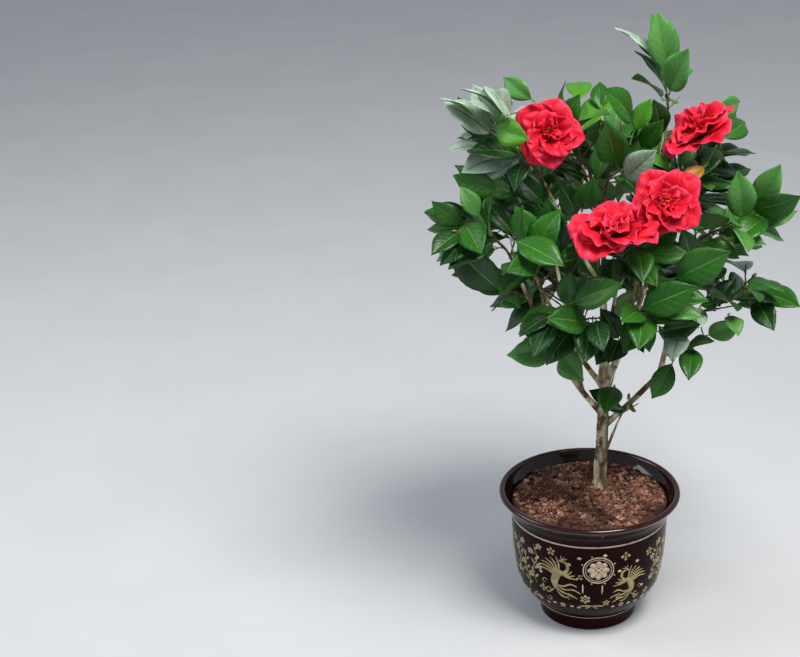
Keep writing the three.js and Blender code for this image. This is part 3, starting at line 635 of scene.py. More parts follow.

# %% [markdown]
# ## The leaves that catch the eye
# About fifty large leaves stand in front of the rest and give this plant its own look.
# Each was measured where it stands: its foot, its tip and its kind of green, an age or
# the painted reflection of the sky. A short twig joins each one to the nearest wood of its
# spray, so none of them floats.

# %% Name the leaves that catch the eye
NOTED_LEAVES = [  # spray, foot, tip, how far it is rolled about its midrib, kind of green
    ("top_shoot", (80, 8, 661), (66, 8, 732), 0.1, "fresh"),
    ("top_shoot", (73, 6, 671), (26, 46, 709), 1.05, "silvery"),
    ("top_shoot", (82, 4, 642), (95, -29, 698), -0.2, "fresh"),
    ("top_shoot", (76, 8, 635), (51, 61, 648), 1.2, "grown"),
    ("centre_top_shoot", (-17, 0, 637), (-13, 55, 648), 0.1, "young"),
    ("upper_centre_spray", (39, -30, 610), (57, -35, 648), 0, "young"),
    ("upper_centre_spray", (42, -10, 614), (4, -43, 662), 0.3, "grown"),
    ("upper_centre_spray", (23, -30, 570), (3, -59, 631), -0.2, "grown"),
    ("upper_centre_spray", (29, -35, 558), (57, -74, 601), 0.3, "silvery"),
    ("upper_left_spray", (-111, -30, 622), (-80, -82, 622), 0.5, "young"),
    ("upper_left_spray", (-126, -10, 619), (-168, -10, 652), 1.35, "silvery"),
    ("upper_left_spray", (-98, -20, 626), (-118, 42, 650), 0.9, "silvery"),
    ("upper_left_spray", (-95, -30, 626), (-112, -73, 673), 0.9, "silvery"),
    ("upper_left_spray", (-66, 0, 640), (-98, 20, 664), -0.5, "fresh"),
    ("left_spray", (-105, -20, 544), (-157, -20, 564), -0.4, "grown"),
    ("left_spray", (-143, -20, 506), (-182, -20, 534), -0.6, "grown"),
    ("left_spray", (-146, -20, 511), (-129, -78, 494), 0, "grown"),
    ("left_spray", (-101, -20, 423), (-160, -20, 488), -0.5, "old"),
    ("left_front_spray", (-96, -80, 509), (-45, -122, 493), -0.3, "grown"),
    ("front_lower_spray", (-35, -100, 441), (16, -132, 473), 0, "grown"),
    ("front_right_spray", (38, -100, 430), (96, -127, 467), 0.2, "grown"),
    ("front_right_spray", (74, -100, 465), (129, -133, 505), 0.3, "grown"),
    ("low_left_spray", (-45, -50, 366), (-102, -82, 375), -0.3, "fresh"),
    ("low_left_spray", (-22, -70, 409), (-62, -112, 426), 0, "fresh"),
    ("right_spray", (165, -20, 500), (153, -35, 563), 0, "fresh"),
    ("right_spray", (181, -15, 509), (197, -34, 570), -0.2, "fresh"),
    ("right_spray", (171, -15, 512), (217, -59, 541), 0.9, "grown"),
    ("right_spray", (192, -20, 506), (149, -58, 489), 0.3, "grown"),
    ("right_lower_spray", (188, -15, 413), (224, -60, 412), -0.2, "grown"),
    ("right_lower_spray", (181, -25, 410), (194, -75, 394), 0.2, "old"),
    ("right_lower_spray", (127, -30, 368), (158, -58, 395), 0.6, "fresh"),
    ("right_lower_spray", (119, -30, 405), (101, -72, 390), 0, "silvery"),
    ("low_right_spray", (97, -40, 378), (79, -86, 363), 0.2, "silvery"),
    ("low_right_spray", (110, -35, 358), (101, -80, 337), 0, "grown"),
    ("upper_centre_spray", (73, -6, 596), (59, -25, 644), 0.2, "old"),
    ("upper_centre_spray", (49, -10, 584), (71, -32, 623), 0.3, "grown"),
    ("centre_top_shoot", (-38, -5, 610), (-19, -20, 650), 0.2, "grown"),
    ("upper_right_spray", (115, -50, 576), (88, -65, 561), 0.2, "turning"),
    ("upper_right_spray", (131, 10, 621), (168, 34, 621), 0.6, "fresh"),
    ("upper_right_spray", (141, 0, 589), (175, 38, 600), 0.3, "grown"),
    ("upper_right_spray", (134, -5, 584), (114, -47, 566), 0.1, "old"),
    ("upper_left_spray", (-105, -25, 618), (-139, -58, 659), 1.1, "silvery"),
    ("upper_left_spray", (-99, -15, 627), (-146, -15, 664), 1.3, "silvery"),
    ("trunk_shoot", (27, -4, 298), (9, -54, 288), 0.1, "grown"),
    ("front_lower_spray", (-13, -95, 413), (-62, -123, 435), 0.1, "grown"),
    ("front_right_spray", (66, -80, 396), (103, -115, 419), 0.2, "old"),
    ("left_middle_spray", (-18, 10, 501), (-36, -11, 549), 0.2, "old"),
    ("upper_centre_spray", (-13, -5, 513), (-5, -30, 560), 0.3, "grown"),
    ("front_spray", (100, -60, 470), (89, -77, 515), 0.2, "old"),
]
print(len(NOTED_LEAVES), "leaves catch the eye")

# %% [markdown]
# ## Give each of them a twig
# The leaf faces the one who looks at the plant, as a leaf does that takes its light from
# the open side. Its twig bends so that it runs out into the leaf's stalk.

# %% Add the leaves that catch the eye
SEEN_LIGHT = np.array((-0.12, -0.85, 0.62))
LAST_BEND = 8


def joined_twig(spray, foot, heading):
    """A short twig from the spray's nearest wood to this foot, ending along the leaf."""
    near = spray.bead_at[np.argmin(np.linalg.norm(spray.bead_at - foot, axis=1))]
    bend = foot - heading * min(LAST_BEND, 0.4 * np.linalg.norm(foot - near))
    return Twig(np.array((near, bend, foot)), FINE_RADII, "noted")


def add_noted_leaf(spray, foot, tip, roll, green_kind):
    foot, tip = np.array(foot, float), np.array(tip, float)
    along = unit(tip - foot)
    leaf = Leaf(foot, along, roll, np.linalg.norm(tip - foot), SEEN_LIGHT)
    leaf.green_kind = green_kind
    twig = joined_twig(spray, foot, along)
    twig.leaves.append(leaf)
    spray.twigs.append(twig)
    return leaf


spray_named = {spray.name: spray for spray in world.sprays}
noted = [add_noted_leaf(spray_named[row[0]], *row[1:]) for row in NOTED_LEAVES]
world.say_grown()

# %% [markdown]
# ## Tip the heavy blooms
# A full bloom is heavy for its twig. Two of the four heads have opened further and
# tipped over since the plan was made, so they look another way and are a little larger.

# %% Tip the blooms
TIPPED = {  # the way the head looks now, how far it moved, its size over the planned one
    "right": ((-0.52, -0.1, 0.85), (0, 0, 3), 1.12),
    "front": ((-0.1, -0.2, 0.96), (8, 0, 8), 1.07),
}


def tipped(bloom):
    seen = copy.copy(bloom)
    face, moved, size = TIPPED.get(bloom.name, (bloom.face, (0, 0, 0), 1))
    seen.face = unit(np.array(face))
    seen.at = bloom.at + moved
    seen.radius = size * bloom.radius
    return seen


seen_blooms = [tipped(bloom) for bloom in world.blooms]
print("the blooms are", [round(2 * bloom.radius) for bloom in seen_blooms], "mm wide")

# %% [markdown]
# ## Windows in the crown
# A crown isn't closed all over: it keeps a few windows that one can look through. Each is
# a line of sight from the eye through a gap, and a radius round it.

# %% Find the windows
EYE = (-0.22046, -1.80565, 1.12862)  # where the camera stands, in metres
WINDOWS = [  # a place in the gap as it is seen from the front, and the gap's radius
    ((-140, -20, 552), 9),
    ((-100, -20, 480), 11),
    ((-128, -20, 428), 13),
    ((170, -20, 436), 11),
    ((195, -20, 380), 12),
    ((187, -20, 470), 8),
    ((106, 0, 654), 11),
    ((-165, -20, 490), 9),
    ((-149, -20, 444), 9),
    ((-133, -20, 421), 9),
    ((-121, -20, 402), 10),
    ((-136, -20, 548), 8),
    ((179, -20, 374), 10),
    ((6, -20, 254), 11),
    ((80, -20, 309), 11),
    ((78, -20, 286), 9),
    ((153, -20, 569), 8),
]
IN_WINDOW = 3  # a leaf is in the window with more than this many of its sample points
eye = np.array(EYE) / MM


def in_window(leaf):
    for place, radius in WINDOWS:
        sight = unit(np.array(place) - eye)
        offset = leaf.samples - eye
        apart = offset - np.outer(offset @ sight, sight)
        if (np.linalg.norm(apart, axis=1) < radius).sum() > IN_WINDOW:
            return True
    return False


leaves = [leaf for spray in world.sprays for leaf in spray.leaves]
print(sum(in_window(leaf) for leaf in leaves), "leaves stand in", len(WINDOWS), "windows")

# %% [markdown]
# ## Thin the crown
# A leaf that stands right over another gets no light and is shed. Leaves that crowd
# another one, that hide or touch one that catches the eye, or that stand in a window or
# a bloom are taken off, and then the twigs that have none left.

# %% Thin the crown
CROWDED = 15  # between the middles of two leaves
HIDING = 5
IN_BLOOM = 1


def in_bloom(leaf):
    return any(inside_bloom(bloom, leaf.samples, 0).sum() > IN_BLOOM for bloom in seen_blooms)


def hides(leaf, other):
    """Whether a leaf stands between the eye and much of another one."""
    sights = other.samples - eye
    reach = ((leaf.middle - eye) @ leaf.normal) / (sights @ leaf.normal)
    offset = eye + sights * reach[:, None] - leaf.root
    share = offset @ leaf.along / leaf.length
    covered = (np.abs(offset @ leaf.side) < half_width_at(leaf, share)) & (reach < 1) & (share < 1)
    return covered.sum() > HIDING


def thin(spray):
    kept = []
    for leaf in spray.leaves:
        crowded = any(np.linalg.norm(leaf.middle - other.middle) < CROWDED for other in kept)
        spoils = any(hides(leaf, other) or blades_meet(leaf, other) for other in noted)
        if not (crowded or spoils or in_window(leaf) or in_bloom(leaf)):
            kept.append(leaf)
    for twig in spray.twigs:
        twig.leaves = [leaf for leaf in twig.leaves if leaf in kept or leaf.green_kind]
    spray.twigs = [twig for twig in spray.twigs if twig.leaves or twig.kind in ("stem", "bloom")]


for spray in world.sprays:
    thin(spray)
world.say_grown()

# %% [markdown]
# ## Small tools for meshes
# Everything thin on a plant is either a sheet (leaf, petal, sepal) or a tube (stalk,
# twig, limb). A sheet starts as a grid of points and gets an upper and a lower skin that
# close at the edge, so it has a real thickness. A tube starts as rings round a curve.
# Building them as arrays makes thousands in a second, which no modifier stack would.

# %% Collect parts and make pieces


def grid_faces(index):
    """A four-sided face between each four neighbours in a grid of point numbers."""
    corners = (index[:-1, :-1], index[:-1, 1:], index[1:, 1:], index[1:, :-1])
    return np.stack(corners, axis=-1).reshape(-1, 4)


def ring_faces(rings, sides):
    """Faces between rings of points, each ring closed."""
    index = np.arange(rings * sides).reshape(rings, sides)
    onward = np.roll(index, -1, axis=1)
    return np.stack((index[:-1], onward[:-1], onward[1:], index[1:]), axis=-1).reshape(-1, 4)


def turns_of(sides):
    return np.arange(sides) * 2 * math.pi / sides


class Parts:
    """The points and four-sided faces of one piece, collected before it becomes a mesh."""

    def __init__(self):
        self.points = []
        self.faces = []
        self.slots = []
        self.places = []
        self.count = 0

    def add(self, points, faces, slots=0, places=None):
        points = np.reshape(points, (-1, 3))
        self.points.append(points)
        self.faces.append(np.asarray(faces) + self.count)
        self.slots.append(np.broadcast_to(slots, len(faces)))
        self.places.append(np.zeros((len(points), 2)) if places is None else places)
        self.count += len(points)


def make_piece(name, parts, finishes, nodes, smooth=True):
    """One object from collected parts, riding on the pot's body and standing for these nodes."""
    mesh = bpy.data.meshes.new(name)
    points = np.concatenate(parts.points) * MM
    faces = np.concatenate(parts.faces)
    mesh.from_pydata(points.tolist(), [], faces.tolist())
    places = mesh.uv_layers.new(name="places").uv
    corners = np.concatenate(parts.places)[faces.ravel()]
    places.foreach_set("vector", corners.astype(np.float32).ravel())
    for finish in finishes:
        mesh.materials.append(finish)
    mesh.polygons.foreach_set("material_index", np.concatenate(parts.slots).astype(np.int32))
    if smooth:
        mesh.shade_smooth()
    piece = bpy.data.objects.new(name, mesh)
    bpy.context.scene.collection.objects.link(piece)
    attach(piece, "root")
    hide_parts(*nodes)
    print(name, "has", 2 * len(faces), "triangles")
    return piece


print("three rings of 8 points have", len(ring_faces(3, 8)), "faces")

# %% [markdown]
# ## Sheets and tubes
# A sheet's rim is drawn in, so its edge is thin and soft. A tube carries its own sense
# of across from ring to ring, so it never twists where its line bends.

# %% Make sheets and tubes
RIM_THINNED = 0.3


def sheet_faces(rows, columns):
    """Faces of one sheet, and for each whether it is upper (0), lower (1) or rim (2)."""
    top = np.arange(rows * columns).reshape(rows, columns)
    upper = grid_faces(top)
    lower = upper[:, ::-1] + rows * columns
    loop = np.concatenate((top[0, :-1], top[:-1, -1], top[-1, :0:-1], top[:0:-1, 0]))
    onward = np.roll(loop, -1)
    rim = np.stack((onward, loop, loop + rows * columns, onward + rows * columns), axis=-1)
    kinds = np.repeat((0, 1, 2), (len(upper), len(lower), len(rim)))
    return np.concatenate((upper, lower, rim)), kinds


def add_sheet(parts, grid, thickness, slots):
    """An upper and a lower skin over a grid of points. slots gives the finish of each face."""
    rows, columns = grid.shape[:2]
    normal = np.cross(np.gradient(grid, axis=1), np.gradient(grid, axis=0))
    normal /= np.linalg.norm(normal, axis=2, keepdims=True)
    depth = np.full((rows, columns, 1), thickness / 2)
    depth[[0, -1]] *= RIM_THINNED
    depth[:, [0, -1]] *= RIM_THINNED
    faces = sheet_faces(rows, columns)[0]
    across, down = np.meshgrid(np.linspace(0, 1, columns), np.linspace(0, 1, rows))
    places = np.stack((across, down), axis=-1).reshape(-1, 2)
    points = np.stack((grid + normal * depth, grid - normal * depth))
    parts.add(points, faces, slots, np.concatenate((places, places)))


def add_tube(parts, centres, radii, sides, slot=0):
    """Rings round a line of centres, each with its own radius."""
    centres = np.asarray(centres, float)
    along = np.gradient(centres, axis=0)
    along /= np.linalg.norm(along, axis=1, keepdims=True)
    across = unit(np.cross(along[0], ASKEW))
    turns = turns_of(sides)
    rings = []
    for centre, heading, radius in zip(centres, along, radii):
        across = unit(across - heading * (across @ heading))
        over = np.cross(heading, across)
        ring = np.outer(np.cos(turns), across) + np.outer(np.sin(turns), over)
        rings.append(centre + radius * ring)
    around, up = np.meshgrid(np.arange(sides) / sides, np.linspace(0, 1, len(centres)))
    places = np.stack((around, up), axis=-1).reshape(-1, 2)
    parts.add(np.concatenate(rings), ring_faces(len(centres), sides), slot, places)


print("a sheet of 13 by 8 points has", len(sheet_faces(13, 8)[0]), "faces")

# %% [markdown]
# ## Small tools for finishes
# A finish is a material made of nodes. Colours are given as red, green and blue shares of
# light. This helper adds a node, sets its values and joins it up in one line.

# %% Build finishes from nodes


class Finish:
    """A material whose surface starts plain, and the nodes that are added to it."""

    def __init__(self, name, **values):
        self.material = bpy.data.materials.new(name)
        self.material.use_nodes = True
        self.tree = self.material.node_tree
        self.shader = self.tree.nodes["Principled BSDF"]
        self.set(self.shader, values)

    def give(self, socket, value):
        """A number or colour is set on the socket itself, and a node's output is linked to it."""
        if isinstance(value, bpy.types.NodeSocket):
            self.tree.links.new(value, socket)
        else:
            socket.default_value = value

    def set(self, node, values):
        for key, value in values.items():
            self.give(node.inputs[key.replace("_", " ")], value)

    def add(self, kind, settings=(), **values):
        node = self.tree.nodes.new("ShaderNode" + kind)
        for key, value in settings:
            setattr(node, key, value)
        self.set(node, values)
        return node

    def place(self, where="Object"):
        return self.add("TexCoord").outputs[where]

    def maths(self, operation, first, second=0.0):
        node = self.add("Math", [("operation", operation)])
        for socket, value in zip(node.inputs, (first, second)):
            self.give(socket, value)
        return node.outputs[0]

    def noise(self, scale, detail=3.0, where=None):
        values = {"Vector": where or self.place(), "Scale": scale, "Detail": detail}
        return self.add("TexNoise", **values).outputs["Fac"]

    def spread(self, value, low, high, to_low=0.0, to_high=1.0):
        """The value's range from low to high, stretched to another one and cut off outside."""
        node = self.add("MapRange", From_Min=low, From_Max=high, To_Min=to_low, To_Max=to_high)
        self.give(node.inputs["Value"], value)
        return node.outputs["Result"]

    def mix(self, share, first, second):
        colours = [(*c, 1) if isinstance(c, tuple) else c for c in (first, second)]
        return self.add("MixRGB", Fac=share, Color1=colours[0], Color2=colours[1]).outputs["Color"]

    def cloudy(self, scale, first, second, edges=(0.35, 0.65), detail=3.0):
        """Two colours in soft clouds."""
        return self.mix(self.spread(self.noise(scale, detail), *edges), first, second)

    def bump(self, height, strength, distance):
        node = self.add("Bump", Height=height, Strength=strength, Distance=distance)
        self.set(self.shader, {"Normal": node.outputs["Normal"]})

    def roughen(self, scale, least, most, detail=3.0):
        """A roughness that varies in clouds."""
        self.set(self.shader, {"Roughness": self.spread(self.noise(scale, detail), 0.3, 0.7, least, most)})

    def colour(self, value):
        self.set(self.shader, {"Base_Color": value})


print("finishes are built from nodes, with no image")

# %% [markdown]
# ## Leaves
# A camellia's leaf is thick and drawn out to a short point, with a sunken midrib and a
# slow wave along its edge. The blade is a sheet of thirteen rows across, whose outline,
# bend and waves differ a little from leaf to leaf, and the stalk is a short tube.

# %% Make a leaf's mesh
BLADE_SHARES = np.array((0.09, 0.13, 0.19, 0.27, 0.36, 0.46, 0.56, 0.66, 0.76, 0.85, 0.92, 0.97, 1.0))
BLADE_ASIDES = np.array((-1, -0.66, -0.33, -0.045, 0.045, 0.33, 0.66, 1))
BLADE_THICKNESS = 0.6
NARROWEST = 0.5
MIDRIB_COLUMN = 3
TIP_START = 0.78  # the share of the blade where its tip starts, and the share that is tip
TIP_SHARE = 0.22
TIP_NARROWED = 0.35
BLADE_WIDTHS = (0.98, 1.12)
LARGEST_BEND = 2.5
WAVE_HEIGHTS = (0.3, 1.1)
WAVE_PACES = (8, 15)  # from foot to tip, in radians
WAVE_SKEW = 1.7
QUILTING = 0.06
RIB_SUNK = 0.25
LARGEST_DROOP = 3.5
STALK_SHARES = np.array((-0.02, 0.04, 0.09, 0.16))
STALK_RADII = (0.95, 0.8, 0.7, 0.65)


def smooth_step(value):
    """Rises softly from 0 to 1 as the value does."""
    value = np.clip(value, 0, 1)
    return value * value * (3 - 2 * value)


def leaf_slots():
    """For each face of the blade: 0 on the upper side, 1 on the midrib, 2 underneath."""
    columns = len(BLADE_ASIDES) - 1
    kinds = sheet_faces(len(BLADE_SHARES), len(BLADE_ASIDES))[1]
    column = np.arange(len(kinds)) % columns
    return np.where(kinds == 1, 2, np.where((kinds == 0) & (column == MIDRIB_COLUMN), 1, 0))


LEAF_SLOTS = leaf_slots()


def blade_grid(leaf, dice):
    """The blade with its own drawn-out tip, sideways bend, waves, quilting and droop."""
    share = BLADE_SHARES[:, None]
    off_rib = np.abs(BLADE_ASIDES)
    narrowed = 1 - TIP_NARROWED * smooth_step((share - TIP_START) / TIP_SHARE)
    half = half_width_at(leaf, share) * narrowed
    half = np.maximum(half * dice(*BLADE_WIDTHS), NARROWEST)
    aside = half * BLADE_ASIDES + dice(-LARGEST_BEND, LARGEST_BEND) * share**2
    wave_height = dice(*WAVE_HEIGHTS)
    phase = share * dice(*WAVE_PACES) + dice(*ANY_TURN) + WAVE_SKEW * BLADE_ASIDES
    wave = wave_height * np.sin(phase) * BLADE_ASIDES**2
    quilt = QUILTING * half * np.sin(np.pi * off_rib) - RIB_SUNK * (off_rib < 0.1)
    droop = dice(0, LARGEST_DROOP) * smooth_step((share - 0.55) / 0.45)
    return blade_points(leaf, share, aside, wave * smooth_step(half / 4) + quilt - droop)


def add_leaf(parts, leaf, dice):
    add_sheet(parts, blade_grid(leaf, dice), BLADE_THICKNESS, LEAF_SLOTS)
    stalk = blade_points(leaf, STALK_SHARES, np.zeros(len(STALK_SHARES)), -0.2)
    add_tube(parts, stalk, STALK_RADII, 5, 1)


print("a leaf's blade has", len(LEAF_SLOTS), "faces")

# %% [markdown]
# ## The leaves' finishes
# The veins run from the midrib towards the edge in shallow grooves. Their pattern is a
# wave along the leaf that is pushed forward with the distance from the midrib, read from
# each leaf's own places, so it follows every blade however it is turned.

# %% Make the leaves' finishes
RIB_COUNT = 9


def vein_lines(finish):
    places = finish.add("SeparateXYZ", Vector=finish.place("UV"))
    across, along = places.outputs["X"], places.outputs["Y"]
    from_rib = finish.maths("ABSOLUTE", finish.maths("SUBTRACT", across, 0.5))
    pushed = finish.maths("SUBTRACT", along, finish.maths("MULTIPLY", from_rib, 0.45))
    saw = finish.maths("PINGPONG", finish.maths("MULTIPLY", pushed, 2.0 * RIB_COUNT), 1.0)
    return finish.spread(saw, 0.0, 0.22, 1.0, 0.0)


def leaf_finish(name, deep, light, gloss):
    finish = Finish(name, Roughness=gloss, Specular_IOR_Level=0.26, Coat_Weight=0.06, Coat_Roughness=0.15)
    blade = finish.cloudy(22, deep, light)
    veins = vein_lines(finish)
    paler = tuple(min(1, 1.6 * c + 0.02) for c in light)
    finish.colour(finish.mix(finish.maths("MULTIPLY", veins, 0.3), blade, paler))
    grain = finish.maths("ADD", finish.noise(900, 2), finish.maths("MULTIPLY", veins, -0.8))
    finish.bump(grain, 0.35, 0.0006)
    finish.roughen(160, gloss - 0.06, gloss + 0.1)
    return finish.material


def matt_finish(name, dark, light, roughness, scale=60):
    finish = Finish(name, Roughness=roughness, Specular_IOR_Level=0.3)
    finish.colour(finish.cloudy(scale, dark, light))
    finish.bump(finish.noise(scale * 12, 2), 0.3, 0.0004)
    finish.roughen(scale * 3, roughness - 0.08, roughness + 0.08)
    return finish.material


print("the veins are", RIB_COUNT, "to a side")

# %% [markdown]
# ## The leaves' greens
# Old leaves are a deep green and new ones much brighter. Some are a pale, silvery green,
# which is a painted reflection of the sky. The midrib and the matt underside have finishes
# of their own.

# %% Mix the leaves' greens
rib_finish = matt_finish("midrib_green", (0.045, 0.15, 0.014), (0.085, 0.22, 0.03), 0.45)
underside_finish = matt_finish("leaf_underside", (0.05, 0.135, 0.022), (0.085, 0.19, 0.04), 0.55)
LEAF_GREEN_KINDS = {
    "old": leaf_finish("old_leaf_green", (0.005, 0.03, 0.005), (0.01, 0.056, 0.008), 0.27),
    "grown": leaf_finish("grown_leaf_green", (0.013, 0.078, 0.006), (0.023, 0.118, 0.009), 0.29),
    "fresh": leaf_finish("fresh_leaf_green", (0.045, 0.17, 0.027), (0.074, 0.225, 0.05), 0.3),
    "young": leaf_finish("young_leaf_green", (0.042, 0.175, 0.006), (0.064, 0.235, 0.01), 0.34),
    # a pale green that paints the sky's reflection into the leaf's colour
    "silvery": leaf_finish("painted_sky_sheen_leaf_green", (0.17, 0.27, 0.18), (0.4, 0.52, 0.42), 0.34),
    "turning": leaf_finish("turning_leaf_amber", (0.1, 0.13, 0.008), (0.4, 0.13, 0.015), 0.4),
}
print(len(LEAF_GREEN_KINDS), "leaf finishes")

# %% [markdown]
# ## Deal the leaves out
# The leaves on one shoot are of one kind of green, so a finish is chosen for a whole twig
# at a time. The sprays at the top and on the low left bear the newest growth, and the upper
# left one is the palest, with the most painted reflection of the sky. Inside a spray the
# kinds go round twig by twig.

# %% Make the leaves
GREEN_KINDS_ROUND = {
    "top_shoot": ("fresh", "young", "fresh"),
    "centre_top_shoot": ("young", "grown", "grown"),
    "upper_centre_spray": ("grown", "old", "grown", "young", "old", "grown"),
    "upper_left_spray": ("silvery", "old", "grown", "silvery", "old"),
    "left_spray": ("grown", "old", "grown", "old", "fresh"),
    "left_front_spray": ("grown", "old", "grown"),
    "low_left_spray": ("fresh", "grown", "old"),
    "upper_right_spray": ("old", "grown", "fresh", "old"),
    "right_spray": ("fresh", "fresh", "grown"),
    "right_lower_spray": ("grown", "silvery", "old", "fresh"),
    "front_spray": ("grown", "grown", "old"),
    "front_right_spray": ("grown", "grown", "old", "fresh"),
}
USUAL_ROUND = ("old", "grown", "old", "grown", "old", "grown", "fresh")
LEAF_SEED = 31

leaf_parts = {green_kind: Parts() for green_kind in LEAF_GREEN_KINDS}
leaf_dice = make_dice(LEAF_SEED)
leaf_nodes = {green_kind: [] for green_kind in LEAF_GREEN_KINDS}
for spray in world.sprays:
    green_kinds = GREEN_KINDS_ROUND.get(spray.name, USUAL_ROUND)
    for number, twig in enumerate(spray.twigs):
        for leaf in twig.leaves:
            green_kind = leaf.green_kind or green_kinds[number % len(green_kinds)]
            add_leaf(leaf_parts[green_kind], leaf, leaf_dice)
            if spray.name not in leaf_nodes[green_kind]:
                leaf_nodes[green_kind].append(spray.name)
for green_kind, parts in leaf_parts.items():
    leaf_finishes = [LEAF_GREEN_KINDS[green_kind], rib_finish, underside_finish]
    make_piece("leaves_" + green_kind, parts, leaf_finishes, leaf_nodes[green_kind])

# %% [markdown]
# ## Twigs and buds
# A twig is never quite straight or even: it bends a little at each leaf, and thickens
# there. Each twig starts inside the limb it grows from, so no joint shows. A bud is a
# short tube too, thickest before its middle.

# %% Shape a twig and a bud
TWIG_STEP = 5
TWIG_SIDES = 7
TWIG_SWAY = 0.5
TWIG_SWELLING = (0.9, 1.25)
SUNK = 2.5  # how far a twig starts inside the limb
BUD_LENGTH = 9
BUD_SHAPE = ((0, 0.9), (0.15, 1.5), (0.4, 2.1), (0.65, 1.8), (0.85, 1.0), (1, 0.1))  # share, radius


def add_twig(parts, twig, dice, slot):
    span = np.linalg.norm(twig.curve[-1] - twig.curve[0])
    count = max(4, math.ceil(span / TWIG_STEP))
    shares = np.linspace(0, 1, count + 1)
    centres = np.array([point_on(twig.curve, share) for share in shares])
    centres[0] -= SUNK * heading_on(twig.curve, 0)
    sway = np.array([[dice(-TWIG_SWAY, TWIG_SWAY) for _ in range(3)] for _ in shares])
    centres += sway * np.sin(np.pi * shares)[:, None]
    radii = twig.radii[0] + (twig.radii[1] - twig.radii[0]) * shares
    radii *= np.array([dice(*TWIG_SWELLING) for _ in shares])
    radii[-1] *= 0.7
    add_tube(parts, centres, radii, TWIG_SIDES, slot)


def add_bud(parts, at, along, size, slot):
    centres = [at + along * BUD_LENGTH * size * share for share, radius in BUD_SHAPE]
    add_tube(parts, centres, [radius * size for share, radius in BUD_SHAPE], 8, slot)


print("a bud is", BUD_LENGTH, "mm long")

# %% [markdown]
# ## Bark and green shoots
# The twigs' wood is reddish brown and smooth. The finest shoots are still green, and
# every other twig ends in a plump green bud.

# %% Make the twigs
TWIG_SEED = 77
WOODY, GREEN = 0, 1

twig_finish = matt_finish("twig_bark", (0.045, 0.024, 0.014), (0.12, 0.07, 0.042), 0.65, 220)
shoot_finish = matt_finish("green_shoot", (0.09, 0.11, 0.025), (0.14, 0.2, 0.04), 0.5, 220)
twig_parts = Parts()
twig_dice = make_dice(TWIG_SEED)
for spray in world.sprays:
    for number, twig in enumerate(spray.twigs):
        add_twig(twig_parts, twig, twig_dice, GREEN if twig.kind in ("fine", "noted") else WOODY)
        if twig.kind in ("twig", "fine") and number % 2 == 0:
            add_bud(twig_parts, twig.curve[-1], heading_on(twig.curve, 1), twig_dice(0.6, 1), GREEN)
spray_names = [spray.name for spray in world.sprays]
make_piece("twigs", twig_parts, [twig_finish, shoot_finish], spray_names)

# %% [markdown]
# ## Blooms
# Each bloom is a loose, layered one, like an open rose. Broad petals wrap round its axis,
# from almost flat at the back to upright round the heart, where a few stamens show. Each
# petal lies over one neighbour and under the next, rises to an off-centre peak at its
# edge and is creased and ruffled. Rings of rolled sheets are chosen over sculpting one
# ball, because light has to fall in between the petals as it does in a real flower.

# %% Shape a petal
PETAL_RINGS = [  # petals, length, opening at foot and edge, half width, ruffle; in radii
    (5, 1.1, (54, 96), 1.0, 0.07),
    (5, 1.0, (42, 80), 0.9, 0.08),
    (4, 0.86, (26, 62), 0.84, 0.08),
    (4, 0.7, (10, 46), 0.66, 0.07),
    (4, 0.54, (-2, 30), 0.44, 0.06),
    (3, 0.4, (-8, 16), 0.28, 0.05),
]
PETAL_ROWS = 14
PETAL_COLUMNS = 25
BLOOM_FOOT = 0.35  # behind the bloom's place, in radii
SHOULDERS = (0.16, 0.32)  # how far the edge falls away on both sides of its peak
PEAK_SHIFT = (-0.5, 0.5)
OPENED = (-7, 7)  # in degrees
PETAL_LENGTHS = (0.93, 1.04)
FOOT_WIDTH = 0.25
BIG_WAVES, SMALL_WAVES = 1.15, 0.55  # over the ring's ruffle
BIG_PACES, SMALL_PACES = (2.5, 4.5), (8, 12)  # over half the petal's width, in radians
LAP = 0.07
LARGEST_CURL = 0.1
CRIMP = 0.03
CRIMP_PACES = (13, 19)


def rolled_line(first, last, length, shares):
    """How far out and how far forward a line runs whose slant turns evenly from first to last."""
    slant = np.radians(first + (last - first) * shares)
    turn = math.radians(last - first)
    out = (math.cos(math.radians(first)) - np.cos(slant)) / turn * length
    forward = (np.sin(slant) - math.sin(math.radians(first))) / turn * length
    return out, forward, slant


def petal_lift(ruffle, share, shares, aside, dice):
    """Big waves, small ones, the lap over the neighbour, a curled edge and crimps."""
    big = np.sin(aside * dice(*BIG_PACES) + dice(*ANY_TURN))
    small = np.sin(aside * dice(*SMALL_PACES) + dice(*ANY_TURN)) * (0.35 + 0.65 * share)
    waves = BIG_WAVES * ruffle * share**2 * big + SMALL_WAVES * ruffle * share * small
    lift = waves - LAP * aside * share
    lift = lift - dice(0, LARGEST_CURL) * smooth_step((shares - 0.75) / 0.25)
    crimp = np.sin(aside * dice(*CRIMP_PACES) + dice(*ANY_TURN)) * smooth_step((share - 0.45) / 0.55)
    return lift + CRIMP * crimp


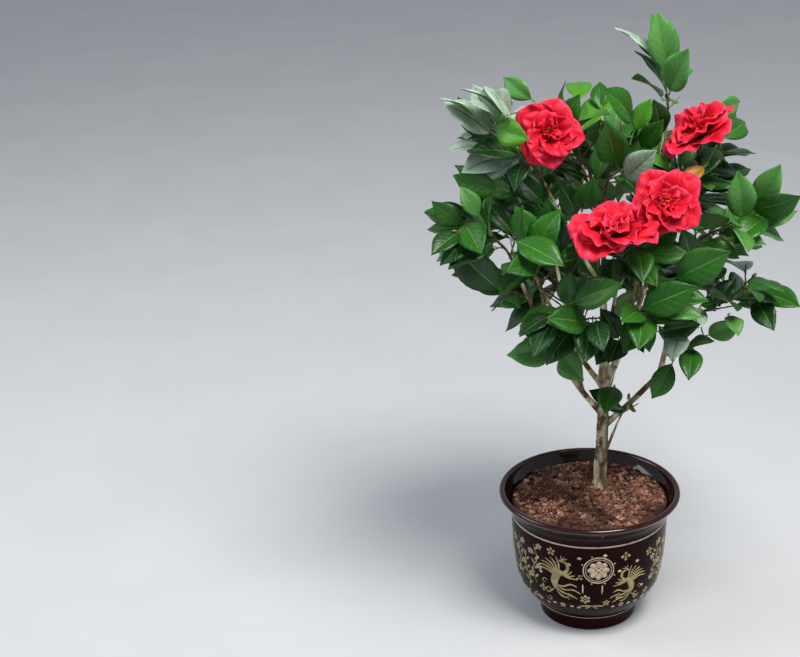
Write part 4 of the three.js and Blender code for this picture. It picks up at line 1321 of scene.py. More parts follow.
def petal_grid(ring, radius, spin, dice):
    length, slants, half, ruffle = ring[1:]
    share = np.linspace(0, 1, PETAL_ROWS)[:, None]
    aside = np.linspace(-1, 1, PETAL_COLUMNS)[None, :]
    peak = 1 - dice(*SHOULDERS) * np.abs(aside - dice(*PEAK_SHIFT))
    opened = dice(*OPENED)
    long = length * radius * dice(*PETAL_LENGTHS)
    shares = share * peak
    out, forward, slant = rolled_line(slants[0] + opened, slants[1] + opened, long, shares)
    flare = FOOT_WIDTH + (1 - FOOT_WIDTH) * smooth_step(share / 0.55)
    wide = half * radius * flare * (1 - 0.12 * smooth_step((share - 0.8) / 0.2))
    turn = spin + wide * aside / (out + 0.25 * radius)
    lift = petal_lift(ruffle, share, shares, aside, dice)
    out = np.maximum(out - lift * radius * np.cos(slant), 0.3)
    forward = forward + lift * radius * np.sin(slant) - BLOOM_FOOT * radius
    return np.stack((out * np.cos(turn), out * np.sin(turn), forward), axis=-1)


def bloom_frame(face):
    """Three directions: across the bloom, over it, and the way it looks."""
    across = unit(np.cross(UP, face))
    return np.array((across, np.cross(face, across), face))


print("a bloom has", sum(ring[0] for ring in PETAL_RINGS), "petals")

# %% [markdown]
# ## The petals' finishes
# The outer petals are a rose red and the heart is a pure scarlet. Each petal is painted
# darker at its foot, as shade down in the bloom, and paler in patches at its edge, as a
# painted highlight. Fine lines run from the foot of a petal to its edge.

# %% Make the petals' finishes
LINES = 34


def petal_finish(name, deep, full, painted_highlight):
    finish = Finish(name, Roughness=0.5, Specular_IOR_Level=0.15, Sheen_Weight=0.03, Sheen_Roughness=0.4)
    places = finish.add("SeparateXYZ", Vector=finish.place("UV"))
    across, along = places.outputs["X"], places.outputs["Y"]
    # painted shade: each petal is darker at its foot, down in the bloom's heart
    body = finish.mix(finish.spread(along, 0.25, 0.75), deep, full)
    # painted highlight: paler patches near the petal's edge
    patches = finish.spread(finish.noise(90), 0.35, 0.7)
    edge = finish.maths("MULTIPLY", finish.spread(along, 0.8, 1.0), patches)
    finish.colour(finish.mix(edge, body, painted_highlight))
    lines = finish.maths("PINGPONG", finish.maths("MULTIPLY", across, float(LINES)), 1.0)
    creases = finish.maths("ADD", finish.maths("MULTIPLY", lines, 0.15), finish.noise(150, 5))
    finish.bump(creases, 0.45, 0.0014)
    finish.roughen(120, 0.42, 0.6)
    return finish.material


# each red: the painted shade at a petal's foot, its full colour, the painted highlight at its edge
rose_red = (0.24, 0.001, 0.004), (0.6, 0.006, 0.022), (0.84, 0.06, 0.14)
scarlet = (0.16, 0.0004, 0.0015), (0.56, 0.003, 0.009), (0.78, 0.03, 0.06)
bloom_finishes = [
    petal_finish("rose_red_petal", *rose_red),
    petal_finish("scarlet_petal", *scarlet),
    matt_finish("yellow_stamen", (0.75, 0.36, 0.03), (0.9, 0.55, 0.1), 0.6, 300),
    matt_finish("green_sepal", (0.07, 0.11, 0.02), (0.16, 0.2, 0.05), 0.5, 200),
]
OUTER, INNER, STAMEN, SEPAL = range(4)
print("the blooms have", len(bloom_finishes), "finishes")

# %% [markdown]
# ## Put a bloom together
# The petals go on ring by ring, each ring turned at random against the last. A few
# stamens stand in the heart, and five small sepals hold the bloom from behind.

# %% Make the blooms
PETAL_THICKNESS = 0.55
PETAL_STRAY = 0.12
BLOOM_SEED = 404
STAMENS = 14
STAMEN_LEAN = (2, 18)  # in degrees
STAMEN_LENGTHS = (0.36, 0.46)  # in the bloom's radii
STAMEN_RADII = (0.4, 0.35, 0.35, 0.3)
STAMEN_BUD = 0.32
SEPAL_THICKNESS = 1.0
SEPALS = 5
SEPAL_RING = (SEPALS, 0.36, (50, 96), 0.2, 0.01)


def add_stamens(parts, bloom, frame_rows, dice):
    foot = bloom.at - BLOOM_FOOT * bloom.radius * bloom.face
    for number in range(STAMENS):
        spin = number * GOLDEN_TURN
        lean = math.radians(dice(*STAMEN_LEAN))
        sideways = (math.sin(lean) * math.cos(spin), math.sin(lean) * math.sin(spin))
        along = np.array((*sideways, math.cos(lean))) @ frame_rows
        tip = foot + along * bloom.radius * dice(*STAMEN_LENGTHS)
        add_tube(parts, np.linspace(foot + along * 2, tip, 4), STAMEN_RADII, 5, STAMEN)
        add_bud(parts, tip - 1.2 * along, along, STAMEN_BUD, STAMEN)


def add_bloom(parts, bloom, dice):
    rows = bloom_frame(bloom.face)
    kinds = sheet_faces(PETAL_ROWS, PETAL_COLUMNS)[1]
    for number, ring in enumerate(PETAL_RINGS):
        phase = dice(*ANY_TURN)
        slots = np.where(kinds == 0, INNER if number else OUTER, OUTER)
        for petal in range(ring[0]):
            spin = phase + (petal + dice(-PETAL_STRAY, PETAL_STRAY)) * 2 * math.pi / ring[0]
            grid = petal_grid(ring, bloom.radius, spin, dice)
            add_sheet(parts, bloom.at + grid @ rows, PETAL_THICKNESS, slots)
    add_stamens(parts, bloom, rows, dice)
    behind = bloom.at - 1.5 * bloom.face
    for sepal in range(SEPALS):
        grid = petal_grid(SEPAL_RING, bloom.radius, sepal * 2 * math.pi / SEPALS, dice)
        add_sheet(parts, behind + grid @ rows, SEPAL_THICKNESS, SEPAL)


bloom_parts = Parts()
bloom_dice = make_dice(BLOOM_SEED)
for bloom in seen_blooms:
    add_bloom(bloom_parts, bloom, bloom_dice)
blooming = ["upper_left_spray", "upper_right_spray", "front_spray"]
make_piece("blooms", bloom_parts, bloom_finishes, blooming)

# %% [markdown]
# ## Trunk and boughs
# Old camellia wood is smooth and grey, with low swellings and thin flaking patches. The
# limbs start as tubes that widen at the soil and at each fork. A voxel remesh then melts
# them into one skin, as a real fork has no seam, and noise gives the skin its relief.

# %% Shape the limbs
ROOT_FLARE = 4.6
FLARE_HEIGHT = 12
ROOT_DEPTH = 4
COLLAR = 0.55  # the swelling where a bough leaves its parent, over the bough's radius
COLLAR_FADE = 14
LIMB_STEP = 3
LIMB_SIDES = 20
REGROWN = 0.25  # what the remesh takes off all round


def limb_radii(name, heights, shares):
    first, last = limbs[name][1]
    radii = first + (last - first) * shares
    if name == "trunk":
        return radii + ROOT_FLARE * np.exp(-(heights - heights[0]) / FLARE_HEIGHT)
    return radii + COLLAR * first * np.exp(-shares * COLLAR_FADE)


def add_limb(parts, name):
    curve = limbs[name][0]
    span = np.linalg.norm(curve[-1] - curve[0])
    shares = np.linspace(0, 1, math.ceil(span / LIMB_STEP) + 1)
    centres = np.array([point_on(curve, share) for share in shares])
    if name == "trunk":
        centres[0] -= ROOT_DEPTH * UP
    radii = limb_radii(name, centres[:, 2], shares) + REGROWN
    before = centres[0] - 0.6 * heading_on(curve, 0)
    beyond = centres[-1] + 0.6 * heading_on(curve, 1)
    add_tube(parts, (before, *centres, beyond), (0.05, *radii, 0.05), LIMB_SIDES)


limb_parts = Parts()
for name in limbs:
    add_limb(limb_parts, name)
print("the limbs start as", len(limb_parts.faces), "tubes")

# %% [markdown]
# ## Melt and roughen the wood
# The relief has three layers: slow swellings drawn out along the limb, fine grain, and a
# few knots. It is calmer on the boughs, whose bark is younger than the trunk's.

# %% Make the wood's surface
VOXEL = 0.0009
EVENING_ROUNDS = 3
SLOW = (90, 90, 26)  # waves to a metre across, over and up
FINE = (330, 330, 130)
KNOTS = (45, 45, 45)
SLOW_HEIGHT, FINE_HEIGHT, KNOT_HEIGHT = 0.55, 0.22, 0.5  # in millimetres
KNOT_FROM = 0.25  # only where the noise is higher does a knot stand out
BOUGH_RELIEF = 0.45


def relief(place):
    slow, fine, knots = (noise.noise(place * Vector(waves)) for waves in (SLOW, FINE, KNOTS))
    return SLOW_HEIGHT * slow + FINE_HEIGHT * fine + KNOT_HEIGHT * max(0, knots - KNOT_FROM)


def melt_together(piece):
    melt = piece.modifiers.new("melt", "REMESH")
    melt.mode = "VOXEL"
    melt.voxel_size = VOXEL
    even = piece.modifiers.new("even", "SMOOTH")
    even.factor = 0.5
    even.iterations = EVENING_ROUNDS
    bpy.context.view_layer.update()
    evaluated = piece.evaluated_get(bpy.context.evaluated_depsgraph_get())
    melted = bpy.data.meshes.new_from_object(evaluated)
    piece.modifiers.clear()
    piece.data = melted
    melted.shade_smooth()


def raise_relief(piece):
    mesh = piece.data
    places = np.empty(3 * len(mesh.vertices), np.float32)
    normals = np.empty(3 * len(mesh.vertices), np.float32)
    mesh.vertices.foreach_get("co", places)
    mesh.vertex_normals.foreach_get("vector", normals)
    places, normals = places.reshape(-1, 3), normals.reshape(-1, 3)
    height = np.array([relief(Vector(place)) for place in places])
    strength = np.where(places[:, 2] < TRUNK_TOP[2] * MM, 1, BOUGH_RELIEF)
    places += normals * (height * strength * MM)[:, None]
    mesh.vertices.foreach_set("co", places.ravel())
    mesh.update()


print("the wood is remeshed at", round(VOXEL / MM, 1), "mm")

# %% [markdown]
# ## Bark
# The colour goes from an olive grey to a warm tan where flakes have fallen, with darker
# brown streaks drawn out along the limb.

# %% Make the bark
OLIVE_GREY = (0.22, 0.155, 0.08)
WARM_TAN = (0.78, 0.7, 0.48)
FLAKED_BROWN = (0.12, 0.06, 0.03)
STREAK_BROWN = (0.05, 0.03, 0.019)

bark = Finish("camellia_bark", Roughness=0.8, Specular_IOR_Level=0.25)
grain = bark.add("Mapping", Vector=bark.place(), Scale=(1, 1, 0.3)).outputs["Vector"]
patches = bark.spread(bark.noise(70, 5, grain), 0.42, 0.6)
streaks = bark.spread(bark.noise(260, 4, grain), 0.45, 0.62)
ground = bark.mix(patches, OLIVE_GREY, WARM_TAN)
flaked = bark.mix(bark.spread(bark.noise(60, 4), 0.52, 0.6), ground, FLAKED_BROWN)
bark.colour(bark.mix(bark.maths("MULTIPLY", streaks, 0.55), flaked, STREAK_BROWN))
bark.bump(bark.maths("ADD", bark.noise(420, 4, grain), bark.noise(1300, 3)), 0.6, 0.0009)
bark.roughen(150, 0.68, 0.9)

wood = make_piece("trunk_and_boughs", limb_parts, [bark.material], list(limbs))
melt_together(wood)
raise_relief(wood)
print("the melted wood has", 2 * len(wood.data.polygons), "triangles")

# %% [markdown]
# ## The pot
# A potter throws this shape on a wheel, so it is one line turned about the pot's axis:
# a straight foot, a full belly, a narrow neck and a lip that flares and rolls over.

# %% Draw the pot's outline
RIM = (108, 159)  # radius and height, here and in the rows below
CREST = (104.5, 163)
NECK = (93, 133)
BELLY = [(63.5, 20), (82.5, 45), (89.5, 75), (92.5, 112)]
FOOT = (58, 15)


def even_curve(points, steps):
    """A Catmull-Rom line through the points, which leaves each towards the next but one."""
    points = np.array(points, float)
    points = np.vstack((points[:1], points, points[-1:]))
    line = []
    for before, first, last, after in zip(points, points[1:], points[2:], points[3:]):
        for share in np.arange(steps) / steps:
            pull = (last - before) * share + (2 * before - 5 * first + 4 * last - after) * share**2
            pull = pull + (3 * first - before - 3 * last + after) * share**3
            line.append(first + pull / 2)
    return np.array(line)


belly_line = even_curve([FOOT, *BELLY, NECK], 10)
lip_bend = np.array((NECK, (NECK[0] + 1, NECK[1] + 12), (RIM[0] - 5, RIM[1] - 7), RIM), float)
lip_line = np.array([point_on(lip_bend, share) for share in np.linspace(0, 1, 12)])
outer_line = np.vstack((belly_line, lip_line))


def pot_radius(height):
    return np.interp(height, outer_line[:, 1], outer_line[:, 0])


print("the pot is", 2 * RIM[0], "mm wide and", CREST[1], "mm high")

# %% [markdown]
# ## Turn the pot
# The line goes on over the rolled lip, down the inside at the wall's thickness and back
# towards the axis, so that the pot has a real wall. It is turned in many narrow steps,
# because its outline has to look round.

# %% Turn the pot
POT_SIDES = 144
WALL = 6
ROLL_CENTRE = (104.2, 159.1)
ROLL_RADIUS = 3.85
LIP_START = 149
FOOT_RING = ((0.5, 3.5), (48, 3), (50, 0.6), (51.5, 0), (56.5, 0), (57.6, 0.5), (58, 1.6), (58, 8))
INNER_HEIGHTS = (155, 150, 140, 120, 80, 45, 22)
INNER_FLOOR = ((50, 10), (0.5, 10))


def pot_profile():
    """The whole line: under the foot, up the outside, round the roll and down the inside."""
    roll = np.radians(np.linspace(5, 170, 9))
    rolled = ROLL_CENTRE + ROLL_RADIUS * np.stack((np.cos(roll), np.sin(roll)), 1)
    heights = np.array(INNER_HEIGHTS)
    inner = np.stack((pot_radius(heights) - WALL, heights), 1)
    return np.vstack((FOOT_RING, outer_line, rolled, inner, INNER_FLOOR))


def turned(parts, profile, sides):
    """The profile turned about the pot's axis, with a finish of its own on the lip."""
    turns = turns_of(sides)
    radius, height = profile[:, 0, None], profile[:, 1, None]
    points = np.stack((radius * np.cos(turns), radius * np.sin(turns), height + 0 * turns), axis=-1)
    from_lip = profile[:-1, 1] > LIP_START
    parts.add(points, ring_faces(len(profile), sides), np.repeat(from_lip, sides).astype(int))


print("the pot's line has", len(pot_profile()), "points")

# %% [markdown]
# ## The glaze
# Oxblood glaze is a red so deep that it looks black where it lies thick. It is redder at
# the foot and on the lip, where it ran thin in the kiln, and the lip is the glossiest.

# %% Fire the glaze
THIN_FOOT = (0.02, 0.004)  # the heights in metres between which the glaze gets thin
THIN_LIP = (0.156, 0.163)


def fired(glaze, thick, full, thin):
    up = glaze.add("SeparateXYZ", Vector=glaze.place()).outputs["Z"]
    at_foot, at_lip = glaze.spread(up, *THIN_FOOT), glaze.spread(up, *THIN_LIP)
    cloudy = glaze.cloudy(30, thick, full, edges=(0.4, 0.65), detail=4)
    glaze.colour(glaze.mix(glaze.maths("MAXIMUM", at_foot, at_lip), cloudy, thin))
    glaze.bump(glaze.noise(55, 2), 0.12, 0.002)
    glaze.roughen(140, 0.07, 0.18)
    return glaze.material


body = Finish("oxblood_glaze", Roughness=0.1, Specular_IOR_Level=0.06)
body_glaze = fired(body, (0.006, 0.0006, 0.0009), (0.014, 0.0012, 0.0018), (0.022, 0.0017, 0.0026))
lip = Finish("oxblood_lip_glaze", Roughness=0.12, Specular_IOR_Level=0.22)
lip.set(lip.shader, {"Coat_Weight": 0.45, "Coat_Roughness": 0.04})
lip_glaze = fired(lip, (0.008, 0.0012, 0.0016), (0.016, 0.0018, 0.0022), (0.026, 0.0028, 0.0036))

pot_parts = Parts()
turned(pot_parts, pot_profile(), POT_SIDES)
make_piece("glazed_pot", pot_parts, [body_glaze, lip_glaze], ["pot"])

# %% [markdown]
# ## Gold lines and figures
# The painter works in gold slip that stands a little proud of the glaze. Every stroke is
# a ribbon that follows the pot's surface: its path is given by how far it goes round and
# how high it is, and it swells in the middle as a brush stroke does.

# %% Paint with strokes
STROKE_DEPTH = 0.5
STROKE_PROUD = np.array((-0.02, 0.12, -0.02))  # at one edge, in the middle, at the other edge
PAINTED_RADIUS = 90  # the radius at which distances round the pot are measured
PAINTED_ROUND = 2 * math.pi * PAINTED_RADIUS
FRONT = -math.pi / 2


def on_pot(around, height, proud):
    """The point at this distance round the belly from the front, at this height."""
    turn = FRONT + np.asarray(around) / PAINTED_RADIUS
    radius = pot_radius(height) + proud
    return np.stack((radius * np.cos(turn), radius * np.sin(turn), height + 0 * turn), axis=-1)


def swelling(count):
    shares = np.linspace(0, 1, count)
    return np.maximum(np.sin(np.pi * (0.08 + 0.84 * shares)), 0.1) ** 0.6


def add_stroke(parts, around, height, width, swell=True, slot=0):
    around, height = np.asarray(around, float), np.asarray(height, float)
    step = np.stack((np.gradient(around), np.gradient(height)))
    step /= np.maximum(np.linalg.norm(step, axis=0), 1e-6)
    half = width / 2 * (swelling(len(around)) if swell else np.ones(len(around)))
    aside = np.array((1, 0, -1))
    side_around = around[:, None] + (step[1] * half)[:, None] * aside
    side_height = height[:, None] - (step[0] * half)[:, None] * aside
    grid = on_pot(side_around, side_height, STROKE_PROUD)
    add_sheet(parts, grid[:, ::-1], STROKE_DEPTH, slot)


print("a stroke swells from", round(swelling(9)[0], 2), "to", round(swelling(9)[4], 2), "of its width")

# %% [markdown]
# ## The painter's brush
# All the ornament is built from the one stroke, as the painter's is: dots, curls, flowers
# and sprigs are strokes set side by side. The brush remembers where on the pot a figure
# stands and whether it is painted the other way round.

# %% Hold a brush
CREAM, GOLD = 0, 1


class Brush:
    """Paints in one slip at a place on the pot, and can paint the mirror image of a figure."""

    def __init__(self, parts, around, height, size=1.0, mirror=1, slot=0):
        self.parts, self.around, self.height = parts, around, height
        self.size, self.mirror, self.slot = size, mirror, slot

    def line(self, places, width, even=False):
        """A stroke bent smoothly through a few places."""
        places = even_curve(places, 5) if len(places) > 2 else np.linspace(places[0], places[1], 5)
        across = self.around + self.mirror * self.size * places[:, 0]
        if self.mirror < 0:
            across, places = across[::-1], places[::-1]
        height = self.height + self.size * places[:, 1]
        add_stroke(self.parts, across, height, width * self.size, not even, self.slot)

    def dot(self, across, up, wide, tall):
        self.line(((across - wide, up), (across + wide, up)), 2 * tall)

    def curl(self, across, up, radius, first, last, width):
        turn = np.radians(np.linspace(first, last, 9))
        shrunk = radius * np.linspace(1, 0.35, 9)
        self.line(np.stack((across + shrunk * np.cos(turn), up + shrunk * np.sin(turn)), 1), width)

    def flower(self, across, up, radius, petals, turned_by=90):
        for petal in range(petals):
            turn = math.radians(turned_by + 360 * petal / petals)
            near = (across + 0.3 * radius * math.cos(turn), up + 0.3 * radius * math.sin(turn))
            far = (across + radius * math.cos(turn), up + radius * math.sin(turn))
            self.line((near, far), 0.62 * radius)
        self.dot(across, up, 0.16 * radius, 0.16 * radius)

    def sprig(self, places, leaves, leaf_length, width):
        """A stem with leaves on both sides in turn."""
        self.line(places, width)
        curve = np.array(places, float)
        for leaf in range(leaves):
            share = 0.15 + 0.8 * leaf / leaves
            foot, ahead = point_on(curve, share), heading_on(curve, share)
            side = math.radians(48 if leaf % 2 else -48)
            turn = np.array(((math.cos(side), -math.sin(side)), (math.sin(side), math.cos(side))))
            self.line((foot, foot + leaf_length * (turn @ ahead)), 2.3 * width)


print("a brush paints in", len((CREAM, GOLD)), "slips")

# %% [markdown]
# ## Rosette and bird
# The rosette is two rings round an eight-petalled flower, with a dot at each corner. The
# bird has a curved neck, a crest, wings of long feathers and a tail of four plumes.

# %% Paint a rosette and a bird


def paint_rosette(brush):
    for radius, width in ((17.5, 1.5), (14.8, 0.8)):
        turn = np.radians(np.linspace(0, 360, 21))
        brush.line(np.stack((radius * np.cos(turn), radius * np.sin(turn)), 1), width, even=True)
    brush.flower(0, 0, 12.5, 8)
    brush.flower(0, 0, 5.5, 4, 45)
    for corner in range(8):
        turn = math.radians(22.5 + 45 * corner)
        brush.dot(20.3 * math.cos(turn), 20.3 * math.sin(turn), 0.9, 0.9)


def paint_bird(brush):
    brush.line(((-3, -14), (-5, -5), (-1, 4), (5, 9)), 8.5)
    brush.line(((4, 7), (10, 12), (9, 19), (4, 21)), 3.2)
    brush.dot(3, 21.5, 2.0, 1.7)
    brush.line(((1.5, 21), (-2.5, 19.5)), 1.2)
    for crest in ((7, 27), (3, 28), (10, 25)):
        brush.line(((4, 22.5), crest), 1.0)
    for feather in range(6):
        lean = math.radians(88 + 17 * feather)
        tip = (-4 + 24 * math.cos(lean), 2 + (25 - 1.6 * feather) * math.sin(lean))
        bend = (-3 + 13 * math.cos(lean - 0.25), 2 + 14 * math.sin(lean - 0.25))
        brush.line(((-1, 1), bend, tip), 2.0)
    for feather in range(4):
        tip = (12 + 3.4 * feather, 17 - 5.4 * feather)
        brush.line(((2, 5), (9 + feather, 8 - 2 * feather), tip), 1.8)
    for plume in (
        ((-4, -12), (0, -20), (6, -24), (11, -23)),
        ((-4, -12), (4, -18), (13, -20), (21, -25)),
        ((-3, -10), (6, -14), (16, -13), (25, -18)),
        ((-3, -9), (5, -10), (13, -6), (21, -9)),
    ):
        brush.line(plume, 2.0)
    brush.curl(-13, -18, 5, 200, 520, 1.2)
    brush.curl(-17, -9, 3.6, 20, 330, 1.0)
    brush.line(((-4, -13), (-9, -19), (-15, -22)), 1.3)


trial_parts = Parts()
paint_bird(Brush(trial_parts, 0, 80))
print("a bird takes", len(trial_parts.faces), "strokes")

# %% [markdown]
# ## Plan the panel
# A painter marks out the places first. Each one here is given by how far it lies from the
# panel's middle and how high it stands over the floor.

# %% Plan the panel
PANELS = 3
FLOWERS = [  # across, up, radius, petals
    (-55, 121, 5.5, 5),
    (33, 117, 6, 4),
    (-21, 91, 4.2, 3),
    (12, 54, 4.6, 5),
    (68, 112, 5.5, 5),
    (-14, 60, 6.5, 6),
    (27, 62, 4.6, 5),
    (-68, 66, 5.5, 4),
    (-82, 50, 4.5, 4),
    (70, 56, 5, 5),
    (84, 46, 4, 4),
]
DOTS = ((-21, 118), (26, 98), (49, 106), (-33, 108), (-74, 106), (-70, 88), (60, 68), (8, 122))
LOW_DOTS = (-88, -64, -54, -31, -22, 22, 44, 56, 78, 90)
LOW_FLOWERS = (-76, -43, 33, 68)
TASSELS = ((-17, 69), (6, 68))
BLOSSOMS = ((-86, 78), (-72, 94), (-86, 110), (-72, 121), (76, 73), (89, 90), (75, 102), (88, 117))
SPRIGS = [  # the stem's places, then how many leaves it has
    (((-78, 68), (-83, 86), (-75, 104), (-81, 124)), 7),
    (((84, 64), (77, 82), (86, 100), (80, 124)), 7),
    (((-94, 54), (-90, 70), (-97, 88), (-93, 110)), 8),
]
CURLS = [  # across, up, radius, first and last angle, width
    (-60, 54, 4.5, 180, 480, 1.3),
    (52, 56, 4.5, 0, -300, 1.3),
    (-33, 60, 4, 0, 290, 1.2),
]
LEAF_SPRAY = ((-15, 1), (-8, 5), (8, 5), (15, 1))
print("a panel has", len(FLOWERS) + len(LOW_FLOWERS) + len(BLOSSOMS), "flowers")

# %% [markdown]
# ## The painted panels
# The same panel is painted three times round the belly: a rosette in front, a long-tailed
# bird on each side, and sprigs, small flowers and dots between. A line runs right round
# the pot above the panels and another one below them.

# %% Paint the panels


def paint_cream(brush):
    for across, up in DOTS:
        brush.dot(across, up, 2.4, 1.9)
    for across in LOW_DOTS:
        brush.dot(across, 46 + 2 * math.sin(across), 2.6, 1.6)
    for across in LOW_FLOWERS:
        brush.flower(across, 47, 3.8, 5)
    for across, up in TASSELS:
        brush.line(((across, up), (across, up + 13)), 2.0)
    for across, up in BLOSSOMS:
        brush.flower(across, up, 4.3, 5)


def paint_gold(brush):
    for row in FLOWERS:
        brush.flower(*row)
    for across, down in LEAF_SPRAY:
        brush.line(((-6, 50), (-6 + across, 50 - down)), 2.6)
    for places, leaves in SPRIGS:
        brush.sprig(places, leaves, 8, 1.4)
    for row in CURLS:
        brush.curl(*row)


def paint_panel(parts, around):
    paint_rosette(Brush(parts, around + 1, 102))
    paint_bird(Brush(parts, around - 46, 87, 1.12, slot=GOLD))
    paint_bird(Brush(parts, around + 39, 77, 0.98, mirror=-1, slot=GOLD))
    paint_cream(Brush(parts, around, 0))
    paint_gold(Brush(parts, around, 0, slot=GOLD))


gold_parts = Parts()
round_the_pot = np.linspace(0, PAINTED_ROUND, POT_SIDES + 1)
for line_height, line_width in ((NECK[1], 2.2), (19.5, 1.5)):
    level = np.full(len(round_the_pot), float(line_height))
    add_stroke(gold_parts, round_the_pot, level, line_width, swell=False)
for panel in range(PANELS):
    paint_panel(gold_parts, (panel - 1) * PAINTED_ROUND / PANELS)
print(len(gold_parts.faces), "strokes are painted")

# %% [markdown]
# ## The slips
# The painter has two slips, a cream one and a duller gold one. Both are a little metallic
# and grainy, and matt beside the glaze.

# %% Make the gold


def slip_finish(name, dark, light):
    slip = Finish(name, Roughness=0.42, Metallic=0.25, Specular_IOR_Level=0.5)
    slip.colour(slip.cloudy(160, dark, light, detail=4))
    slip.bump(slip.noise(700, 3), 0.4, 0.0005)
    slip.roughen(220, 0.32, 0.55)
    return slip.material


slips = [
    slip_finish("cream_slip", (0.38, 0.3, 0.19), (0.62, 0.5, 0.36)),
    slip_finish("gold_slip", (0.22, 0.175, 0.07), (0.43, 0.35, 0.16)),
]
make_piece("gold_ornament", gold_parts, slips, ["pot"])

# %% [markdown]
# ## Soil
# Potting soil for such a plant is baked clay in grains of a few millimetres. The bed comes
# first: a wheel-like grid whose heights have slow waves, clods and crumbs, with a little
# mound round the trunk.

# %% Shape the soil's bed
SOIL_RADIUS = 92.2
SOIL_EDGE = 7  # the width over which the bed tapers to the wall
EDGE_DEPTH = 12
BED_RINGS = 80
BED_SIDES = 220
MOUND = 2.0
MOUND_WIDTH = 30
BED_RISE = 2.0
EDGE_DROP = 0.8
BED_WAVES = (0.035, 0.13, 0.42)  # waves to a millimetre: slow ones, clods and crumbs
BED_HEIGHTS = (2.2, 4.2, 2.6)


def bed_height(across, over):
    place = Vector((across, over, 0))
    aside = math.hypot(across - TRUNK_FOOT[0], over - TRUNK_FOOT[1])
    mound = MOUND * math.exp(-((aside / MOUND_WIDTH) ** 2))
    rough = sum(height * noise.noise(place * waves) for waves, height in zip(BED_WAVES, BED_HEIGHTS))
    inward = smooth_step((SOIL_RADIUS - math.hypot(across, over)) / SOIL_EDGE)
    return SOIL_LEVEL - EDGE_DROP + inward * (BED_RISE + rough + mound)


def make_bed(parts):
    """Rings that widen from the middle to the pot's wall, and one more deep under the edge."""
    points = []
    for radius in np.linspace(0.4, SOIL_RADIUS, BED_RINGS):
        for turn in turns_of(BED_SIDES):
            across, over = radius * math.cos(turn), radius * math.sin(turn)
            points.append((across, over, bed_height(across, over)))
    points += [(across, over, SOIL_LEVEL - EDGE_DEPTH) for across, over, up in points[-BED_SIDES:]]
    facing_up = ring_faces(BED_RINGS + 1, BED_SIDES)[:, [0, 3, 2, 1]]
    parts.add(np.array(points), facing_up)


print("the soil's bed stands", round(bed_height(0, 0), 1), "mm high in the middle")

# %% [markdown]
# ## Grains
# A grain is a rough pebble of five rings, squashed and tilted, and made of one of the
# three clays.

# %% Shape a grain
GRAIN_SIDES = 7
GRAIN_HEIGHTS = np.array((-0.75, -0.35, 0.35, 0.75, 0.95))
GRAIN_ROUNDS = np.array((0.45, 0.95, 0.95, 0.55, 0.08))
GRAIN_SQUASH = 0.75
CLAYS = 3


def add_grain(parts, at, size, dice):
    heights, rounds = GRAIN_HEIGHTS, GRAIN_ROUNDS
    turns = turns_of(GRAIN_SIDES) + dice(0, 1)
    rough = np.array([[dice(0.6, 1.3) for _ in turns] for _ in heights])
    across = rounds[:, None] * rough * np.cos(turns) * dice(0.8, 1.3)
    over = rounds[:, None] * rough * np.sin(turns)
    points = np.stack((across, over, heights[:, None] * GRAIN_SQUASH + 0 * turns), axis=-1) * size
    tilt = Matrix.Rotation(dice(*ANY_TURN), 3, "Z") @ Matrix.Rotation(dice(-0.6, 0.6), 3, "X")
    points = points @ np.array(tilt).T + at
    clay = int(CLAYS * dice(0, 0.99) ** 1.5)
    parts.add(points, ring_faces(len(heights), GRAIN_SIDES), clay)


print("a grain has", GRAIN_SIDES * len(GRAIN_HEIGHTS), "points")

# %% [markdown]
# ## Baked clay
# Baked clay is a pale reddish brown. Shade is painted into it: darker in wide patches, and
# much darker down between the grains, which the finish tells from the height.

# %% Mix the clays
GAP_SHADE_HEIGHTS = (0.1485, 0.154)  # the heights in metres over which the painted shade low between the grains fades out


def clay_grain(name, dark, light):
    finish = Finish(name, Roughness=0.9, Specular_IOR_Level=0.2)
    height = finish.add("SeparateXYZ", Vector=finish.place()).outputs["Z"]
    # painted shade: near black low down between the grains, and darker in wide patches
    gap_shade, shaded = tuple(0.12 * c for c in dark), tuple(0.62 * c for c in dark)
    clay_tone = finish.cloudy(330, dark, light, edges=(0.42, 0.58))
    clay = finish.cloudy(18, shaded, clay_tone, edges=(0.4, 0.6), detail=2)
    finish.colour(finish.mix(finish.spread(height, *GAP_SHADE_HEIGHTS), gap_shade, clay))
    finish.bump(finish.noise(900, 4), 0.8, 0.001)
    finish.roughen(500, 0.8, 0.95)
    return finish.material


soil_finishes = [
    clay_grain("brown_clay", (0.13, 0.053, 0.033), (0.52, 0.25, 0.165)),
    clay_grain("red_clay", (0.18, 0.075, 0.048), (0.68, 0.33, 0.225)),
    clay_grain("tan_clay", (0.24, 0.12, 0.08), (0.7, 0.43, 0.31)),
]
print("the soil has", len(soil_finishes), "clays")

# %% [markdown]
# ## Scatter the grains
# Most grains are crumbs of about a millimetre and a few are four times as large, which
# the dice's throw gives when it is raised to a high power. They go round by the golden
# turn as the leaves do, so they lie evenly without a pattern.

# %% Make the soil
GRAINS = 1500
SMALLEST_GRAIN = 0.9
GRAIN_RANGE = 3.1
SOIL_SEED = 909
GRAIN_MARGIN = 4

soil_parts = Parts()
make_bed(soil_parts)
soil_dice = make_dice(SOIL_SEED)
for number in range(GRAINS):
    radius = (SOIL_RADIUS - GRAIN_MARGIN) * math.sqrt((number + 0.5) / GRAINS)
    turn = number * GOLDEN_TURN
    across, over = radius * math.cos(turn), radius * math.sin(turn)
    size = SMALLEST_GRAIN + GRAIN_RANGE * soil_dice(0, 1) ** 4
    at = np.array((across, over, bed_height(across, over) + 0.25 * size))
    add_grain(soil_parts, at, size, soil_dice)
make_piece("soil_bed", soil_parts, soil_finishes, ["soil"], smooth=False)

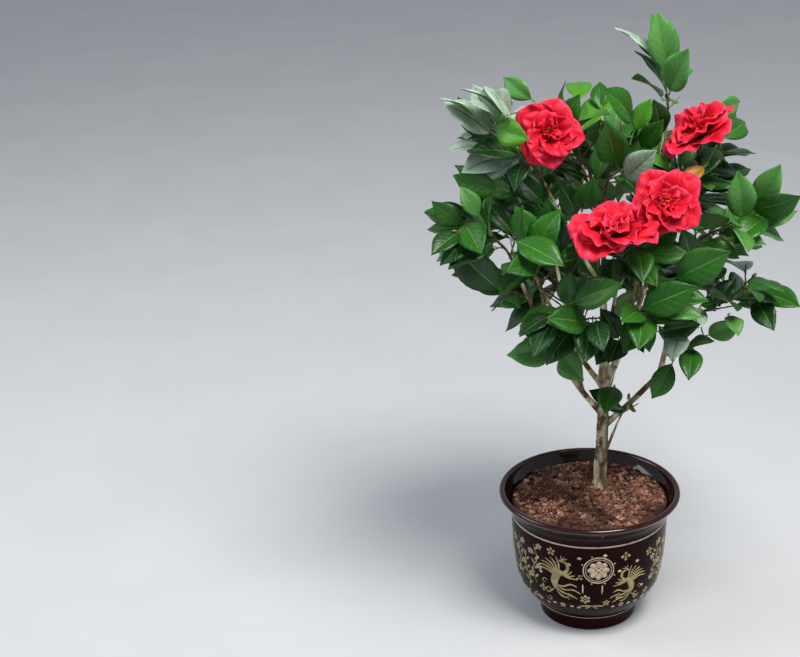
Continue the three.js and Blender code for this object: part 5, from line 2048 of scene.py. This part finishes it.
# %% [markdown]
# ## Floor
# The floor is plain and pale, and so large that its edge isn't seen from where the camera
# stands. It lies a hair under the pot's foot, so that the two don't flicker in each other.

# %% Lay the floor
FLOOR_REACH = 6000
FLOOR_LINES = 13
FLOOR_GAP = 0.3
PALE_FLOOR = (0.52, 0.53, 0.55), (0.535, 0.545, 0.565)


def make_floor():
    line = np.linspace(-FLOOR_REACH, FLOOR_REACH, FLOOR_LINES)
    across, over = np.meshgrid(line, line)
    points = np.stack((across, over, 0 * across - FLOOR_GAP), axis=-1).reshape(-1, 3) * MM
    faces = grid_faces(np.arange(FLOOR_LINES**2).reshape(FLOOR_LINES, FLOOR_LINES))
    mesh = bpy.data.meshes.new("floor")
    mesh.from_pydata(points.tolist(), [], faces.tolist())
    finish = Finish("pale_floor", Roughness=0.85, Specular_IOR_Level=0.2)
    finish.colour(finish.cloudy(6, *PALE_FLOOR, edges=(0.4, 0.6), detail=5))
    mesh.materials.append(finish.material)
    floor = bpy.data.objects.new("floor", mesh)
    bpy.context.scene.collection.objects.link(floor)


make_floor()
print("the floor is", 2 * FLOOR_REACH * MM, "m wide")

# %% [markdown]
# ## Light
# A large soft lamp stands high on the right, in front of the plant, and a weaker, cooler
# one lower down on the left. A pale sky fills the shadows, as on an overcast day. Both
# lamps point at the crown.

# %% Set the lights
LAMPS = [  # name, place, size, watts, colour
    ("high_lamp", (0.6, -1.0, 2.6), 1.2, 92, (1.0, 0.97, 0.92)),
    ("side_lamp", (-1.8, 0.2, 1.6), 1.2, 18, (0.9, 0.95, 1.0)),
]
LIT_POINT = Vector((0, 0, 0.4))
SKY_COLOUR = (0.86, 0.92, 1.0, 1)
SKY_STRENGTH = 0.42


def add_lamp(name, at, size, power, colour):
    lamp = bpy.data.lights.new(name, "AREA")
    lamp.size = size
    lamp.energy = power
    lamp.color = colour
    holder = bpy.data.objects.new(name, lamp)
    holder.location = at
    holder.rotation_euler = (LIT_POINT - Vector(at)).to_track_quat("-Z", "Y").to_euler()
    bpy.context.scene.collection.objects.link(holder)


def add_sky():
    bpy.context.scene.view_settings.view_transform = "Standard"
    sky = bpy.data.worlds.new("pale_sky")
    sky.use_nodes = True
    background = sky.node_tree.nodes["Background"]
    background.inputs["Color"].default_value = SKY_COLOUR
    background.inputs["Strength"].default_value = SKY_STRENGTH
    bpy.context.scene.world = sky


for row in LAMPS:
    add_lamp(*row)
add_sky()
print(len(LAMPS), "lamps and a sky")

# %% [markdown]
# ## Camera
# The camera stands a little over a metre high and some two metres in front of the plant,
# and looks down at it. It is aimed past the plant's left side, so the plant stands on the
# right of the picture.

# %% Set the camera
RIGHT = (0.99945, -0.01274, -0.03061)  # three directions in the camera's own frame
OVERHEAD = (0.03316, 0.38408, 0.92270)
AHEAD = (0.0, 0.92321, -0.38430)
FOCAL_SHARE = 1700 / 800  # focal length over the picture's width
FILM_WIDTH = 36
NEAREST = 0.05


def add_camera():
    lens = bpy.data.cameras.new("viewpoint")
    lens.sensor_width = FILM_WIDTH
    lens.lens = FILM_WIDTH * FOCAL_SHARE
    lens.clip_start = NEAREST
    holder = bpy.data.objects.new("viewpoint", lens)
    turned_view = Matrix((RIGHT, OVERHEAD, [-x for x in AHEAD])).transposed()
    holder.matrix_world = Matrix.Translation(EYE) @ turned_view.to_4x4()
    bpy.context.scene.collection.objects.link(holder)
    bpy.context.scene.camera = holder


add_camera()
print("the camera's lens is", round(FILM_WIDTH * FOCAL_SHARE, 1), "mm")
